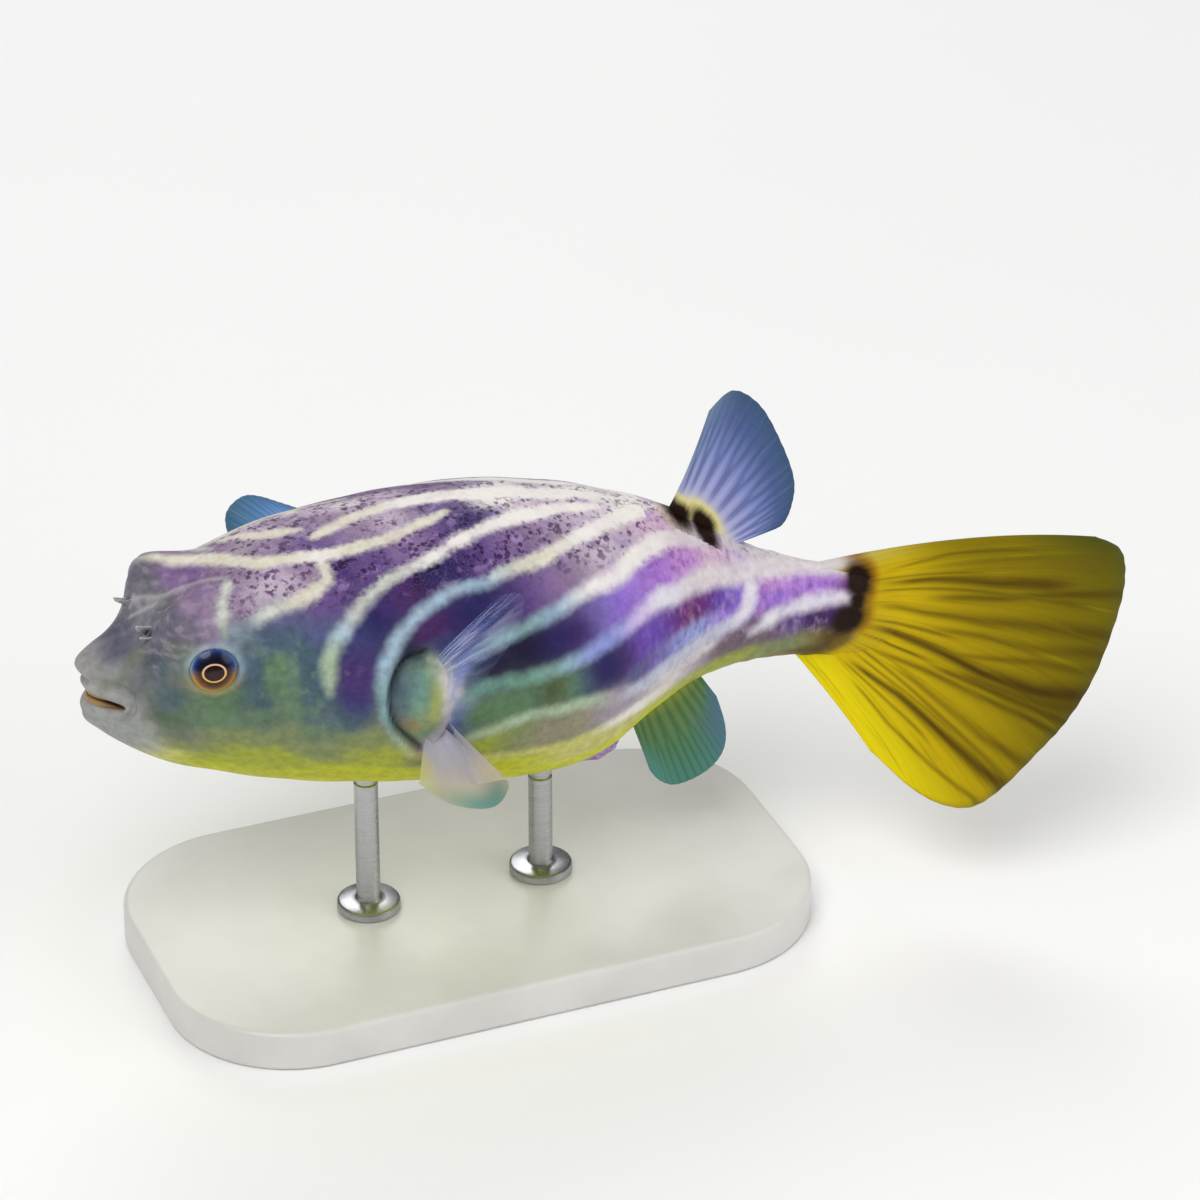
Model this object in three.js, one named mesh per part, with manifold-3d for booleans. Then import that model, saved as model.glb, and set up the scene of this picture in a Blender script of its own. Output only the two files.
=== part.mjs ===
// A freshwater pufferfish 300 mm long, striped, swimming with its tail swung to its left: a still,
// life-size model held over a flat base by two rods.
//
// Millimetres. The fish faces -X, +Z is up, +Y is the fish's right, and the base stands on Z 0.
// The fish is first built straight: there X runs back from the lips, Y is 0 on its middle plane and
// Z is 0 on the body's long axis. swing() then bends the finished solids, and the fish group holds
// them at their height and tilt over the base.

import * as THREE from "three";
import { ParametricGeometry } from "three/addons/geometries/ParametricGeometry.js";
import { mergeVertices } from "three/addons/utils/BufferGeometryUtils.js";
import Module from "manifold-3d";

const wasm = await Module();
wasm.setup();

const { clamp, degToRad, smoothstep } = THREE.MathUtils;

// ---------------------------------------------------------------- driving dimensions

const BODY_LENGTH = 228; // lips to the root of the tail fin
const HEAD_END = 80; // the head ends at the gill openings
const TAIL_START = 176; // the tail starts under the fin of the back
const CUT = 0.4; // thickness of the cuts between the lengths of the body
const CLEARANCE = 0.4; // gap between a piece and the body that it grows from

const BODY_HEIGHT = 96; // the body's axis over the floor, at the fish's balance point
const BALANCE = 112; // the point of the body that stands over the middle of the base
const TILT = degToRad(5); // the head is held this much up

const SWING_START = 108; // the spine is straight ahead of here
const TAIL_SWING = degToRad(20); // at the root of the tail fin, to the fish's left
const TAIL_DROOP = degToRad(4);
const TAIL_TWIST = degToRad(8);

const EYE = { x: 31.3, y: 20, z: 10.4, radius: 7.4 };
const MOUTH_Z = -5.6;
const NOSTRIL = { x: 17.4, y: 9.2 };
const GILL = { x: 91.5, z: 2, radius: 14.5, width: 1.3 };

const BASE = { length: 190, width: 108, height: 12, corner: 36, edge: 1.6 };
const ROD = { radius: 3.4, foot: 9, footHeight: 3 };
const ROD_PLACES = { front: -30, rear: 22 }; // along X from the middle of the base

// Sections of the body, from inside the mouth to the root of the tail fin: distance from the lips,
// back, belly, half width, level of the widest point, how far the flanks lie behind the middle, how
// far the underside does.
const SECTIONS = [
  [12.5, -5.6, -5.6, 0.0, -5.6, 0.0, 0.0],
  [10.5, -4.6, -6.6, 6.0, -5.6, 4.5, 0.0],
  [6.0, -4.3, -6.9, 8.8, -5.6, 6.8, 0.0],
  [3.4, -4.1, -7.3, 10.4, -5.6, 8.0, 0.2],
  [2.0, -2.4, -9.2, 11.4, -5.2, 9.0, 0.2],
  [2.4, -0.2, -11.6, 12.2, -4.0, 10.4, 0.4],
  [0.2, 3.2, -13.2, 13.0, -3.2, 12.4, 3.0],
  [3.8, 6.5, -15.4, 14.0, -3.0, 10.2, 2.0],
  [9.0, 9.2, -18.9, 15.5, -2.4, 6.6, 1.4],
  [17.0, 14.4, -23.2, 18.6, -1.0, 2.4, 0.7],
  [26.0, 21.0, -26.8, 22.4, 0.0, 0.0, 0.0],
  [36.0, 27.6, -29.4, 26.4, 1.0, 0.0, 0.0],
  [50.0, 33.6, -32.6, 31.4, 1.0, 0.0, 0.0],
  [68.0, 37.0, -35.4, 35.8, 1.0, 0.0, 0.0],
  [92.0, 40.2, -38.6, 38.2, 1.0, 0.0, 0.0],
  [116.0, 41.6, -42.4, 38.6, 0.0, 0.0, 0.0],
  [138.0, 39.4, -42.8, 35.8, 0.0, 0.0, 0.0],
  [152.0, 36.4, -38.6, 31.4, 0.0, 0.0, 0.0],
  [166.0, 32.4, -29.0, 24.6, 2.0, 0.0, 0.0],
  [180.0, 26.4, -20.6, 17.6, 3.0, 0.0, 0.0],
  [194.0, 19.0, -16.0, 12.4, 1.0, 0.0, 0.0],
  [208.0, 15.2, -13.6, 9.2, 0.0, 0.0, 0.0],
  [220.0, 14.2, -13.0, 6.6, 0.0, 0.0, 0.0],
  [226.0, 13.0, -12.2, 4.2, 0.0, 0.0, 0.0],
  [BODY_LENGTH, 0.0, 0.0, 0.0, 0.0, 0.0, 0.0],
];
const MOUTH_SECTIONS = 6; // the first ones line the mouth and round the lips

// Swellings of the skin, on both sides: place, radius of the swelling and how far it stands out.
const SWELLINGS = [
  { at: [25, 15.5, 20.5], radius: 9, height: 9.0 }, // brow
  { at: [31, 21.5, 10.5], radius: 11, height: 2.0 }, // eye ring
  { at: [27, 0, 24], radius: 9, height: -1.6 }, // hollow between the brows
  { at: [88, 38, 4], radius: 9, height: 2.0 }, // root of the breast fin
  { at: [19, 18, -8], radius: 8, height: -0.8 }, // crease behind the lips
];

// ---------------------------------------------------------------- curves

// The rows of a table at a fractional place, on a Catmull-Rom curve through them.
function rowAt(rows, place) {
  const first = clamp(Math.floor(place), 0, rows.length - 2);
  const part = place - first;
  const row = (k) => rows[clamp(k, 0, rows.length - 1)];
  return rows[first].map((_, column) => {
    const [a, b, c, d] = [-1, 0, 1, 2].map((k) => row(first + k)[column]);
    return (
      b +
      0.5 * part * (c - a + part * (2 * a - 5 * b + 4 * c - d + part * (3 * (b - c) + d - a)))
    );
  });
}

// The cosine or sine of a squarer circle.
const squared = (value, power) => Math.sign(value) * Math.abs(value) ** power;

// ---------------------------------------------------------------- the straight body

// A point of the skin before its swellings. turn is 0 on the back, 0.25 on the left, 0.5 on the belly.
function plainSkin(place, turn) {
  const [x, back, belly, side, level, sweep, set] = rowAt(SECTIONS, place);
  const angle = turn * 2 * Math.PI;
  const squareness = 0.86 + 0.14 * smoothstep(x, 60, 160);
  const rise = squared(Math.cos(angle), squareness);
  const out = squared(Math.sin(angle), squareness);
  const z = level + rise * (rise > 0 ? back - level : level - belly);
  return new THREE.Vector3(x + sweep * out ** 2 - set * Math.min(rise, 0), -side * out, z);
}

function swellingAt(point) {
  let sum = 0;
  for (const { at, radius, height } of SWELLINGS) {
    const away = new THREE.Vector3(at[0], at[1], at[2]).sub(
      new THREE.Vector3(point.x, Math.abs(point.y), point.z),
    );
    sum += height * Math.exp(-away.lengthSq() / radius ** 2);
  }
  return sum;
}

// A point of the skin, moved out by its swellings and by grow.
function skin(place, turn, grow = 0) {
  const point = plainSkin(place, turn);
  const step = 0.02;
  const alongSkin = plainSkin(Math.min(place + step, SECTIONS.length - 1.01), turn).sub(
    plainSkin(Math.max(place - step, 0.01), turn),
  );
  const roundSkin = plainSkin(place, turn + step).sub(plainSkin(place, turn - step));
  const outward = roundSkin.cross(alongSkin).normalize();
  if (place === 0) outward.set(-1, 0, 0);
  if (place === SECTIONS.length - 1) outward.set(1, 0, 0);
  const outside = smoothstep(place, MOUTH_SECTIONS, MOUTH_SECTIONS + 2);
  return point.addScaledVector(outward, swellingAt(point) * outside + grow);
}

function bodySurface(grow = 0) {
  return (u, v, target) => target.copy(skin(v * (SECTIONS.length - 1), -u, grow));
}

// ---------------------------------------------------------------- solids

// A geometry's triangles as a manifold-3d solid, turned outward if they face in.
function solidOf(geometry) {
  const bare = geometry.clone();
  bare.deleteAttribute("normal");
  bare.deleteAttribute("uv");
  const merged = mergeVertices(bare, 1e-3);
  const kept = [];
  for (let i = 0; i < merged.index.count; i += 3) {
    const [a, b, c] = [0, 1, 2].map((k) => merged.index.getX(i + k));
    if (a !== b && b !== c && c !== a) kept.push([a, b, c]);
  }
  const make = (flip) =>
    new wasm.Manifold(
      new wasm.Mesh({
        numProp: 3,
        vertProperties: merged.attributes.position.array,
        triVerts: new Uint32Array(kept.flatMap(([a, b, c]) => (flip ? [a, c, b] : [a, b, c]))),
      }),
    );
  const solid = make(false);
  return solid.volume() < 0 ? make(true) : solid;
}

function geometryOf(solid) {
  const { numProp, numVert, vertProperties, triVerts } = solid.getMesh();
  const positions = new Float32Array(numVert * 3);
  for (let i = 0; i < numVert; i++) {
    positions.set(vertProperties.subarray(i * numProp, i * numProp + 3), i * 3);
  }
  return new THREE.BufferGeometry()
    .setAttribute("position", new THREE.BufferAttribute(positions, 3))
    .setIndex(new THREE.BufferAttribute(triVerts, 1));
}

function block(fromX, toX, reach = 200) {
  const geometry = new THREE.BoxGeometry(toX - fromX, 2 * reach, 2 * reach);
  return solidOf(geometry.translate((fromX + toX) / 2, 0, 0));
}

// ---------------------------------------------------------------- bending

// Frames of the spine every millimetre: where it is, and which way is back, left and up.
const SPINE = (() => {
  const frames = [];
  const at = new THREE.Vector3();
  for (let x = 0; x <= BODY_LENGTH + 100; x++) {
    const share = Math.max(0, (x - SWING_START) / (BODY_LENGTH - SWING_START)) ** 2;
    const turn = new THREE.Matrix4()
      .makeRotationZ(-TAIL_SWING * share)
      .multiply(new THREE.Matrix4().makeRotationY(TAIL_DROOP * share))
      .multiply(new THREE.Matrix4().makeRotationX(-TAIL_TWIST * share));
    const [back, right, up] = [0, 1, 2].map((k) =>
      new THREE.Vector3().setFromMatrixColumn(turn, k),
    );
    frames.push({ at: at.clone(), right, up, back });
    at.add(back);
  }
  return frames;
})();

function swing(point) {
  const x = clamp(point.x, 0, SPINE.length - 2);
  const near = SPINE[Math.floor(x)];
  const far = SPINE[Math.floor(x) + 1];
  const part = x - Math.floor(x);
  const mix = (key) => near[key].clone().lerp(far[key], part);
  return mix("at")
    .addScaledVector(mix("back"), point.x - x)
    .addScaledVector(mix("right").normalize(), point.y)
    .addScaledVector(mix("up").normalize(), point.z);
}

function swungGeometry(solid) {
  const geometry = geometryOf(solid);
  const places = geometry.attributes.position;
  const point = new THREE.Vector3();
  for (let i = 0; i < places.count; i++) {
    point.fromBufferAttribute(places, i);
    places.setXYZ(i, ...swing(point).toArray());
  }
  return geometry;
}

// ---------------------------------------------------------------- fins

// A fan of fin rays with skin between them, from guide rays that each run from a root to a tip. The
// rays are thicker than the skin, and both thin out to the margin. bow curves them off their line.
function finGeometry({ guides, rays, steps, bow = 0, thick, thin = 0.6 }) {
  const rows = guides.map(([root, tip]) => [...root, ...tip]);
  const columns = 2 * rays;
  const geometry = new THREE.BoxGeometry(1, 1, 1, columns, steps, 1);
  const places = geometry.attributes.position;
  const finPoint = (across, reach) => {
    const row = rowAt(rows, across * (rows.length - 1));
    return new THREE.Vector3(...row).lerp(new THREE.Vector3(...row.slice(3)), reach);
  };
  for (let i = 0; i < places.count; i++) {
    const across = places.getX(i) + 0.5;
    const reach = places.getY(i) + 0.5;
    const face = places.getZ(i) * 2;
    const step = 0.01;
    const point = finPoint(across, reach);
    const acrossFin = finPoint(Math.min(across + step, 1), reach).sub(
      finPoint(Math.max(across - step, 0), reach),
    );
    const outFin = finPoint(across, reach + step).sub(finPoint(across, reach - step));
    const normal = acrossFin.cross(outFin).normalize();
    const onRay = Math.round(across * columns) % 2;
    const full = thin + (thick - thin) * (1 - reach) ** 1.3 + 0.35 * onRay * (1 - 0.6 * reach);
    point.addScaledVector(normal, (face * full) / 2 + bow * Math.sin(Math.PI * reach));
    places.setXYZ(i, ...point.toArray());
  }
  return geometry;
}

// A guide ray on the fish's middle plane.
const middle = (rootX, rootZ, tipX, tipZ) => [
  [rootX, 0, rootZ],
  [tipX, 0, tipZ],
];

const BACK_FIN = {
  rays: 10,
  steps: 5,
  bow: 1.2,
  thick: 4.2,
  guides: [
    middle(169, 28, 178, 60.5),
    middle(171, 26.5, 184, 66.2),
    middle(174, 24.5, 192, 61.5),
    middle(177.5, 22, 199, 50.5),
    middle(180.5, 19.5, 203.9, 39.5),
    middle(183, 18.5, 204.3, 31.5),
    middle(185, 19, 202.3, 25.4),
    middle(186.5, 20.8, 197.5, 23.2),
  ],
};
const VENT_FIN = {
  rays: 9,
  steps: 4,
  bow: -1.2,
  thick: 3.4,
  guides: [
    middle(160.5, -26, 171.8, -50.8),
    middle(162.5, -24.5, 175, -54.1),
    middle(165, -22.5, 180, -55.6),
    middle(168, -20.5, 186.5, -53),
    middle(171, -19, 191.5, -48.6),
    middle(174, -17.5, 193.8, -43),
    middle(177, -16.5, 193, -36),
    middle(180, -16, 189.5, -27.5),
  ],
};
const TAIL_FIN = {
  rays: 10,
  steps: 6,
  thick: 3.6,
  thin: 0.7,
  guides: [
    middle(214, 13.8, 283.5, 37.6),
    middle(218.5, 10.8, 290.2, 36.8),
    middle(220.5, 8, 294, 29.5),
    middle(221.5, 5.5, 296, 17.5),
    middle(222, 2.5, 296.7, 0),
    middle(222, 0, 294.5, -14),
    middle(221.6, -2.6, 290.4, -24.8),
    middle(220.8, -5, 283, -39.5),
    middle(219.5, -7.5, 275, -48.3),
    middle(217.5, -9.5, 264, -50.6),
    middle(213.5, -10.5, 252, -47.8),
    middle(207, -9.5, 238, -40),
  ],
};

// The breast fins beat forward in the middle while their upper and lower rays trail.
const LEFT_FIN = {
  rays: 10,
  steps: 5,
  thick: 2.2,
  guides: [
    [[88, -35, 12], [102, -46, 36]],
    [[89.5, -36, 10.5], [106, -51, 38]],
    [[91, -36.5, 7], [102, -58, 30]],
    [[92, -37, 3.5], [89, -63, 16]],
    [[92, -36.5, 0], [84, -63, 2]],
    [[91.5, -36, -3], [92, -58, -13]],
    [[91, -35.5, -5.5], [107, -50, -19]],
    [[90.5, -35, -7], [105.5, -46, -29.5]],
    [[89.5, -34.5, -8], [93, -46, -27]],
    [[88.5, -34, -8.5], [84, -43, -21]],
  ],
};
const RIGHT_FIN = {
  rays: 10,
  steps: 5,
  thick: 2.2,
  guides: [
    [[88, 35, 12], [92, 52, 4]],
    [[89, 36, 10], [86, 58, 8.5]],
    [[90, 36.5, 7], [80, 61.5, 11.5]],
    [[90.5, 37, 4], [73, 61, 15.2]],
    [[90.5, 37, 1], [66, 59, 16.5]],
    [[90, 36.5, -1.5], [61, 57, 12.8]],
    [[89.5, 36, -4], [62, 55, 5]],
    [[88.5, 35, -6], [68, 53, -5]],
    [[87.5, 34, -8], [78, 49, -14]],
  ],
};

// ---------------------------------------------------------------- small parts

// The place of the ring whose skin lies at a distance behind the lips, at one turn.
function placeAt(x, turn) {
  let place = MOUTH_SECTIONS;
  while (plainSkin(place, turn).x < x) place += 0.02;
  return place;
}

// The skin at a distance from the lips and a height, on one side: 1 is the right, -1 the left.
function flank(x, z, side) {
  let turn = 0.02;
  while (skin(placeAt(x, turn), turn).z > z) turn += 0.002;
  const { y } = skin(placeAt(x, turn), turn);
  return new THREE.Vector3(x, side * Math.abs(y), z);
}

// The skin at a distance from the lips and from the middle plane, on the top of the head.
function crown(x, y) {
  let turn = 0;
  while (Math.abs(skin(placeAt(x, turn), turn).y) < Math.abs(y)) turn += 0.002;
  const { z } = skin(placeAt(x, turn), turn);
  return new THREE.Vector3(x, y, z);
}

function eyeball(side, radius) {
  return new THREE.SphereGeometry(radius, 16, 10).translate(EYE.x, side * EYE.y, EYE.z);
}

// A short flap of skin that leans forward over the nostril, forked in two.
function nostrilFlap(side) {
  const lobe = (turn, length) => {
    const surface = (u, v, target) => {
      const angle = -u * 2 * Math.PI;
      const width = v === 0 || v === 1 ? 0 : 1.7 * Math.sin(Math.PI * (0.12 + 0.8 * v)) ** 0.7;
      target.set(0.45 * width * Math.cos(angle), width * Math.sin(angle), v * length);
      target.x -= 1.2 * v ** 2;
    };
    return solidOf(new ParametricGeometry(surface, 10, 6).rotateX(turn));
  };
  const forked = geometryOf(lobe(0.24, 6.8).add(lobe(-0.24, 6)));
  forked.rotateY(degToRad(-38)).rotateX(degToRad(-14 * side)).translate(1, 0, -1.4);
  return solidOf(forked.translate(...crown(NOSTRIL.x, side * NOSTRIL.y).toArray()));
}

// One beak plate, rooted in its lip: it curves along the mouth, with a small notch between its two
// teeth. grow widens it all round, for the slot that it sits in.
function beak(up, grow = 0) {
  const geometry = new THREE.BoxGeometry(1, 1, 1, 12, 1, 1);
  const places = geometry.attributes.position;
  for (let i = 0; i < places.count; i++) {
    const y = places.getX(i) * 2 * (8.4 + grow);
    const deep = places.getY(i) * 2;
    const high = places.getZ(i) + 0.5;
    const edge = 0.2 + 0.0035 * y ** 2 + 0.2 * Math.exp(-(y ** 2));
    const swept = 0.088 * y ** 2;
    places.setXYZ(
      i,
      4.6 + swept + deep * (1.3 + 1.6 * grow),
      y,
      MOUTH_Z + up * (edge - grow + high * (2.8 + 2 * grow)),
    );
  }
  return solidOf(geometry);
}

// The gill opening: a crescent groove ahead of the breast fin, deepest in the middle.
function gillGroove(side) {
  const at = flank(GILL.x - GILL.radius, GILL.z, side);
  const surface = (u, v, target) => {
    const along = degToRad(150) * (v - 0.5);
    const round = -u * 2 * Math.PI;
    const thickness = v === 0 || v === 1 ? 0 : GILL.width * Math.sin(Math.PI * v) ** 0.6;
    const reach = GILL.radius + thickness * Math.cos(round);
    target.set(
      GILL.x - reach * Math.cos(along),
      at.y + side * (1.4 * thickness * Math.sin(round) + 3.4 * (1 - Math.cos(along)) + 0.4),
      GILL.z + reach * Math.sin(along),
    );
  };
  return solidOf(new ParametricGeometry(surface, 8, 18));
}

// The vent: a small fold of skin ahead of the fin under the tail.
function ventFold() {
  const fold = new THREE.SphereGeometry(1, 12, 8).scale(7.5, 3.2, 5);
  return solidOf(fold.rotateY(degToRad(-32)).translate(155, 0, -40.6));
}

// ---------------------------------------------------------------- the fish

const bodySolid = solidOf(new ParametricGeometry(bodySurface(), 30, 48));
const grownBody = solidOf(new ParametricGeometry(bodySurface(CLEARANCE), 30, 48));

const fish = new THREE.Group();
fish.rotation.y = TILT;
fish.position.set(-BALANCE * Math.cos(TILT), 0, BODY_HEIGHT + BALANCE * Math.sin(TILT));

const FLESH = new THREE.MeshStandardMaterial({ color: 0x9a8fb0, roughness: 0.42 });
const LIP = new THREE.MeshStandardMaterial({ color: 0x9b9aa0, roughness: 0.5 });
const EYE_GLOSS = new THREE.MeshStandardMaterial({ color: 0x59403b, roughness: 0.1 });
const BEAK = new THREE.MeshStandardMaterial({ color: 0x8a6c3a, roughness: 0.35 });
const BLUE_FIN = new THREE.MeshStandardMaterial({ color: 0x707ba7, roughness: 0.45 });
const YELLOW_FIN = new THREE.MeshStandardMaterial({ color: 0xb39a12, roughness: 0.45 });
const GREEN_FIN = new THREE.MeshStandardMaterial({ color: 0x55725a, roughness: 0.45 });
const PALE_FIN = new THREE.MeshStandardMaterial({ color: 0x9aa8a8, roughness: 0.4 });

function addToFish(name, solid, material) {
  const mesh = new THREE.Mesh(swungGeometry(solid), material);
  mesh.name = name;
  fish.add(mesh);
  return mesh;
}

let flesh = bodySolid.subtract(beak(1, CLEARANCE)).subtract(beak(-1, CLEARANCE));
for (const side of [-1, 1]) {
  flesh = flesh
    .subtract(solidOf(eyeball(side, EYE.radius + CLEARANCE)))
    .subtract(gillGroove(side));
}

addToFish("head", flesh.intersect(block(-50, HEAD_END - CUT / 2)), FLESH);
addToFish("trunk", flesh.intersect(block(HEAD_END + CUT / 2, TAIL_START - CUT / 2)), FLESH);
addToFish("tail", flesh.intersect(block(TAIL_START + CUT / 2, BODY_LENGTH + 50)), FLESH);

for (const [name, side, breastFin] of [
  ["left", -1, LEFT_FIN],
  ["right", 1, RIGHT_FIN],
]) {
  addToFish(`eye_${name}`, solidOf(eyeball(side, EYE.radius)), EYE_GLOSS);
  addToFish(`nostril_flap_${name}`, nostrilFlap(side).subtract(grownBody), LIP);
  addToFish(`breast_fin_${name}`, solidOf(finGeometry(breastFin)).subtract(grownBody), PALE_FIN);
}
addToFish("beak_upper", beak(1), BEAK);
addToFish("beak_lower", beak(-1), BEAK);
addToFish("vent", ventFold().subtract(grownBody), LIP);
addToFish("back_fin", solidOf(finGeometry(BACK_FIN)).subtract(grownBody), BLUE_FIN);
addToFish("vent_fin", solidOf(finGeometry(VENT_FIN)).subtract(grownBody), GREEN_FIN);
addToFish("tail_fin", solidOf(finGeometry(TAIL_FIN)).subtract(grownBody), YELLOW_FIN);

// ---------------------------------------------------------------- the stand

const BASE_FINISH = new THREE.MeshStandardMaterial({ color: 0xc9c8c4, roughness: 0.5 });
const STEEL = new THREE.MeshStandardMaterial({ color: 0xb9bcc2, metalness: 1, roughness: 0.3 });

function standBase() {
  const { length, width, height, corner, edge } = BASE;
  const [x, y] = [length / 2 - edge, width / 2 - edge];
  const outline = new THREE.Shape()
    .absarc(x - corner, -y + corner, corner, -Math.PI / 2, 0)
    .absarc(x - corner, y - corner, corner, 0, Math.PI / 2)
    .absarc(-x + corner, y - corner, corner, Math.PI / 2, Math.PI)
    .absarc(-x + corner, -y + corner, corner, Math.PI, 1.5 * Math.PI);
  const plate = new THREE.ExtrudeGeometry(outline, {
    depth: height - 2 * edge,
    bevelSize: edge,
    bevelThickness: edge,
    bevelSegments: 1,
    curveSegments: 5,
  });
  return plate.translate(0, 0, edge);
}

// A rod with a flat foot, long enough to reach into the body, which then cuts its top.
function rodGeometry(x) {
  const { radius, foot, footHeight } = ROD;
  const profile = [
    [0, 0],
    [foot, 0],
    [foot, footHeight - 0.8],
    [foot - 0.8, footHeight],
    [radius, footHeight],
    [radius, BODY_HEIGHT - BASE.height],
    [0, BODY_HEIGHT - BASE.height],
  ].map(([r, z]) => new THREE.Vector2(r, z));
  const rod = new THREE.LatheGeometry(profile, 18).rotateX(Math.PI / 2);
  return rod.translate(x, 0, BASE.height + 0.3);
}

const model = new THREE.Group();
model.add(fish);

const base = new THREE.Mesh(standBase(), BASE_FINISH);
base.name = "stand_base";
model.add(base);

fish.updateMatrix();
const heldBody = solidOf(swungGeometry(grownBody).applyMatrix4(fish.matrix));
for (const [name, x] of Object.entries(ROD_PLACES)) {
  const cut = solidOf(rodGeometry(x)).subtract(heldBody);
  const parts = cut.decompose().sort((a, b) => a.boundingBox().min[2] - b.boundingBox().min[2]);
  const rod = new THREE.Mesh(geometryOf(parts[0]), STEEL);
  rod.name = `stand_rod_${name}`;
  model.add(rod);
}

export default model;
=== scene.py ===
"""A striped freshwater pufferfish 300 mm long: a life-size model, held over a flat base by two rods.

The fish is shaped straight and in millimetres, as its solids are: X runs back from the lips, Y is 0
on its middle plane with the left side at -Y, and Z is 0 on its long axis. swing() then bends it and
hold_up() brings it over the base, in metres. A place on the skin is (x, turn): x is the distance of
its ring from the lips, and turn is in hundredths of the way round, 0 on the back, 25 on the left
flank, -25 on the right one and 50 on the belly.
"""

import math
from types import SimpleNamespace

import bpy
import numpy as np
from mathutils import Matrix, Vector


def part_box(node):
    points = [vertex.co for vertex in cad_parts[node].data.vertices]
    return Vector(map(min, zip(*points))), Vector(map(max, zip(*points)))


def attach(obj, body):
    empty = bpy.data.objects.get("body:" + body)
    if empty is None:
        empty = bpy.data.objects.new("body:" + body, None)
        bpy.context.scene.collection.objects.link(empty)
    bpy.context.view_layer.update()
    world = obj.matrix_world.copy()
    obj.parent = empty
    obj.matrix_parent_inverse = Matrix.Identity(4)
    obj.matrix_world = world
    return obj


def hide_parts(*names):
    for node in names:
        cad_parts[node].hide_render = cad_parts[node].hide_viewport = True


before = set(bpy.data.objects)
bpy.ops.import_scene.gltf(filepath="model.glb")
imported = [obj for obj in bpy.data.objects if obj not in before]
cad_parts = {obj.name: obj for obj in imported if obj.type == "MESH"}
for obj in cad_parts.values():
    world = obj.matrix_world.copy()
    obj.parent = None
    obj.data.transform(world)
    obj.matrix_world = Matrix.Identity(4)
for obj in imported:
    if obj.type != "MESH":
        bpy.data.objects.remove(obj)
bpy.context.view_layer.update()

MM = 0.001

# ---------------------------------------------------------------- driving dimensions, as the solids'

BODY_LENGTH = 228
BODY_HEIGHT = 96
BALANCE = 112
TILT = math.radians(5)
SWING_START = 108
TAIL_SWING = math.radians(20)
TAIL_DROOP = math.radians(4)
TAIL_TWIST = math.radians(8)

EYE = np.array([31.3, 20.0, 10.4])
GAZE = np.array([-0.17, 0.96, 0.206])
EYE_OPENING = (6.5, 5.95)  # half width and half height
EYEBALL_ROUND = 8.2
EYEBALL_DEEP = 6.0
EYEBALL_FORWARD = 1.2
MOUTH_Z = -5.6
NOSTRIL = (17.4, 9.2)
BASE = SimpleNamespace(length=190, width=108, height=12, corner=36, edge=1.6)
ROD = SimpleNamespace(radius=3.4, foot=9, foot_height=3)
ROD_PLACES = {"front": -30, "rear": 22}

# Distance from the lips, back, belly, half width, level of the widest point, lag of the flanks and
# of the underside. The first ones line the mouth and round the lips; the last run into the tail fin.
SECTIONS = np.array([
    (12.5, -5.6, -5.6, 0.0, -5.6, 0.0, 0.0),
    (10.5, -4.6, -6.6, 6.0, -5.6, 4.5, 0.0),
    (6.0, -4.3, -6.9, 8.8, -5.6, 6.8, 0.0),
    (3.4, -4.1, -7.3, 10.4, -5.6, 8.0, 0.2),
    (2.0, -2.4, -9.2, 11.4, -5.2, 9.0, 0.2),
    (2.4, -0.2, -11.6, 12.2, -4.0, 10.4, 0.4),
    (0.2, 3.2, -13.2, 13.0, -3.2, 12.4, 3.0),
    (3.8, 6.5, -15.4, 14.0, -3.0, 10.2, 2.0),
    (9.0, 9.2, -18.9, 15.5, -2.4, 6.6, 1.4),
    (17.0, 14.4, -23.2, 18.6, -1.0, 2.4, 0.7),
    (26.0, 21.0, -26.8, 22.4, 0.0, 0.0, 0.0),
    (36.0, 27.6, -29.4, 26.4, 1.0, 0.0, 0.0),
    (50.0, 33.6, -32.6, 31.4, 1.0, 0.0, 0.0),
    (68.0, 37.0, -35.4, 35.8, 1.0, 0.0, 0.0),
    (92.0, 40.2, -38.6, 38.2, 1.0, 0.0, 0.0),
    (116.0, 41.6, -42.4, 38.6, 0.0, 0.0, 0.0),
    (138.0, 39.4, -42.8, 35.8, 0.0, 0.0, 0.0),
    (152.0, 36.4, -38.6, 31.4, 0.0, 0.0, 0.0),
    (166.0, 32.4, -29.0, 24.6, 2.0, 0.0, 0.0),
    (180.0, 26.4, -20.6, 17.6, 3.0, 0.0, 0.0),
    (194.0, 19.0, -16.0, 12.4, 1.0, 0.0, 0.0),
    (208.0, 15.2, -13.6, 9.2, 0.0, 0.0, 0.0),
    (220.0, 14.2, -13.0, 6.6, 0.0, 0.0, 0.0),
    (227.0, 13.4, -12.4, 4.7, 0.0, 0.0, 0.0),
    (233.0, 12.4, -11.6, 3.0, 0.0, 0.0, 0.0),
    (239.0, 10.6, -9.9, 1.6, 0.0, 0.0, 0.0),
    (245.0, 7.0, -6.5, 0.6, 0.0, 0.0, 0.0),
    (247.0, 0.0, 0.0, 0.0, 0.0, 0.0, 0.0),
])
MOUTH_SECTIONS = 6
LAST_PLACE = len(SECTIONS) - 1

# Swellings on both sides: middle, radius and how far each stands out.
SWELLINGS = [
    ((25, 15.5, 20.5), 9, 9.0),
    ((31, 21.5, 10.5), 11, 2.0),
    ((27, 0, 24), 9, -1.6),
    ((88, 38, 4), 9, 2.0),
    ((19, 18, -8), 8, -0.8),
]

# ---------------------------------------------------------------- curves and the straight body

SLOPE_STEP = 0.02  # places, or turns, on either side of a point, for the way out of the skin there
POLE_GAP = 0.01  # how near the first and last places that is measured
LINE_SPACING = 0.4


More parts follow.
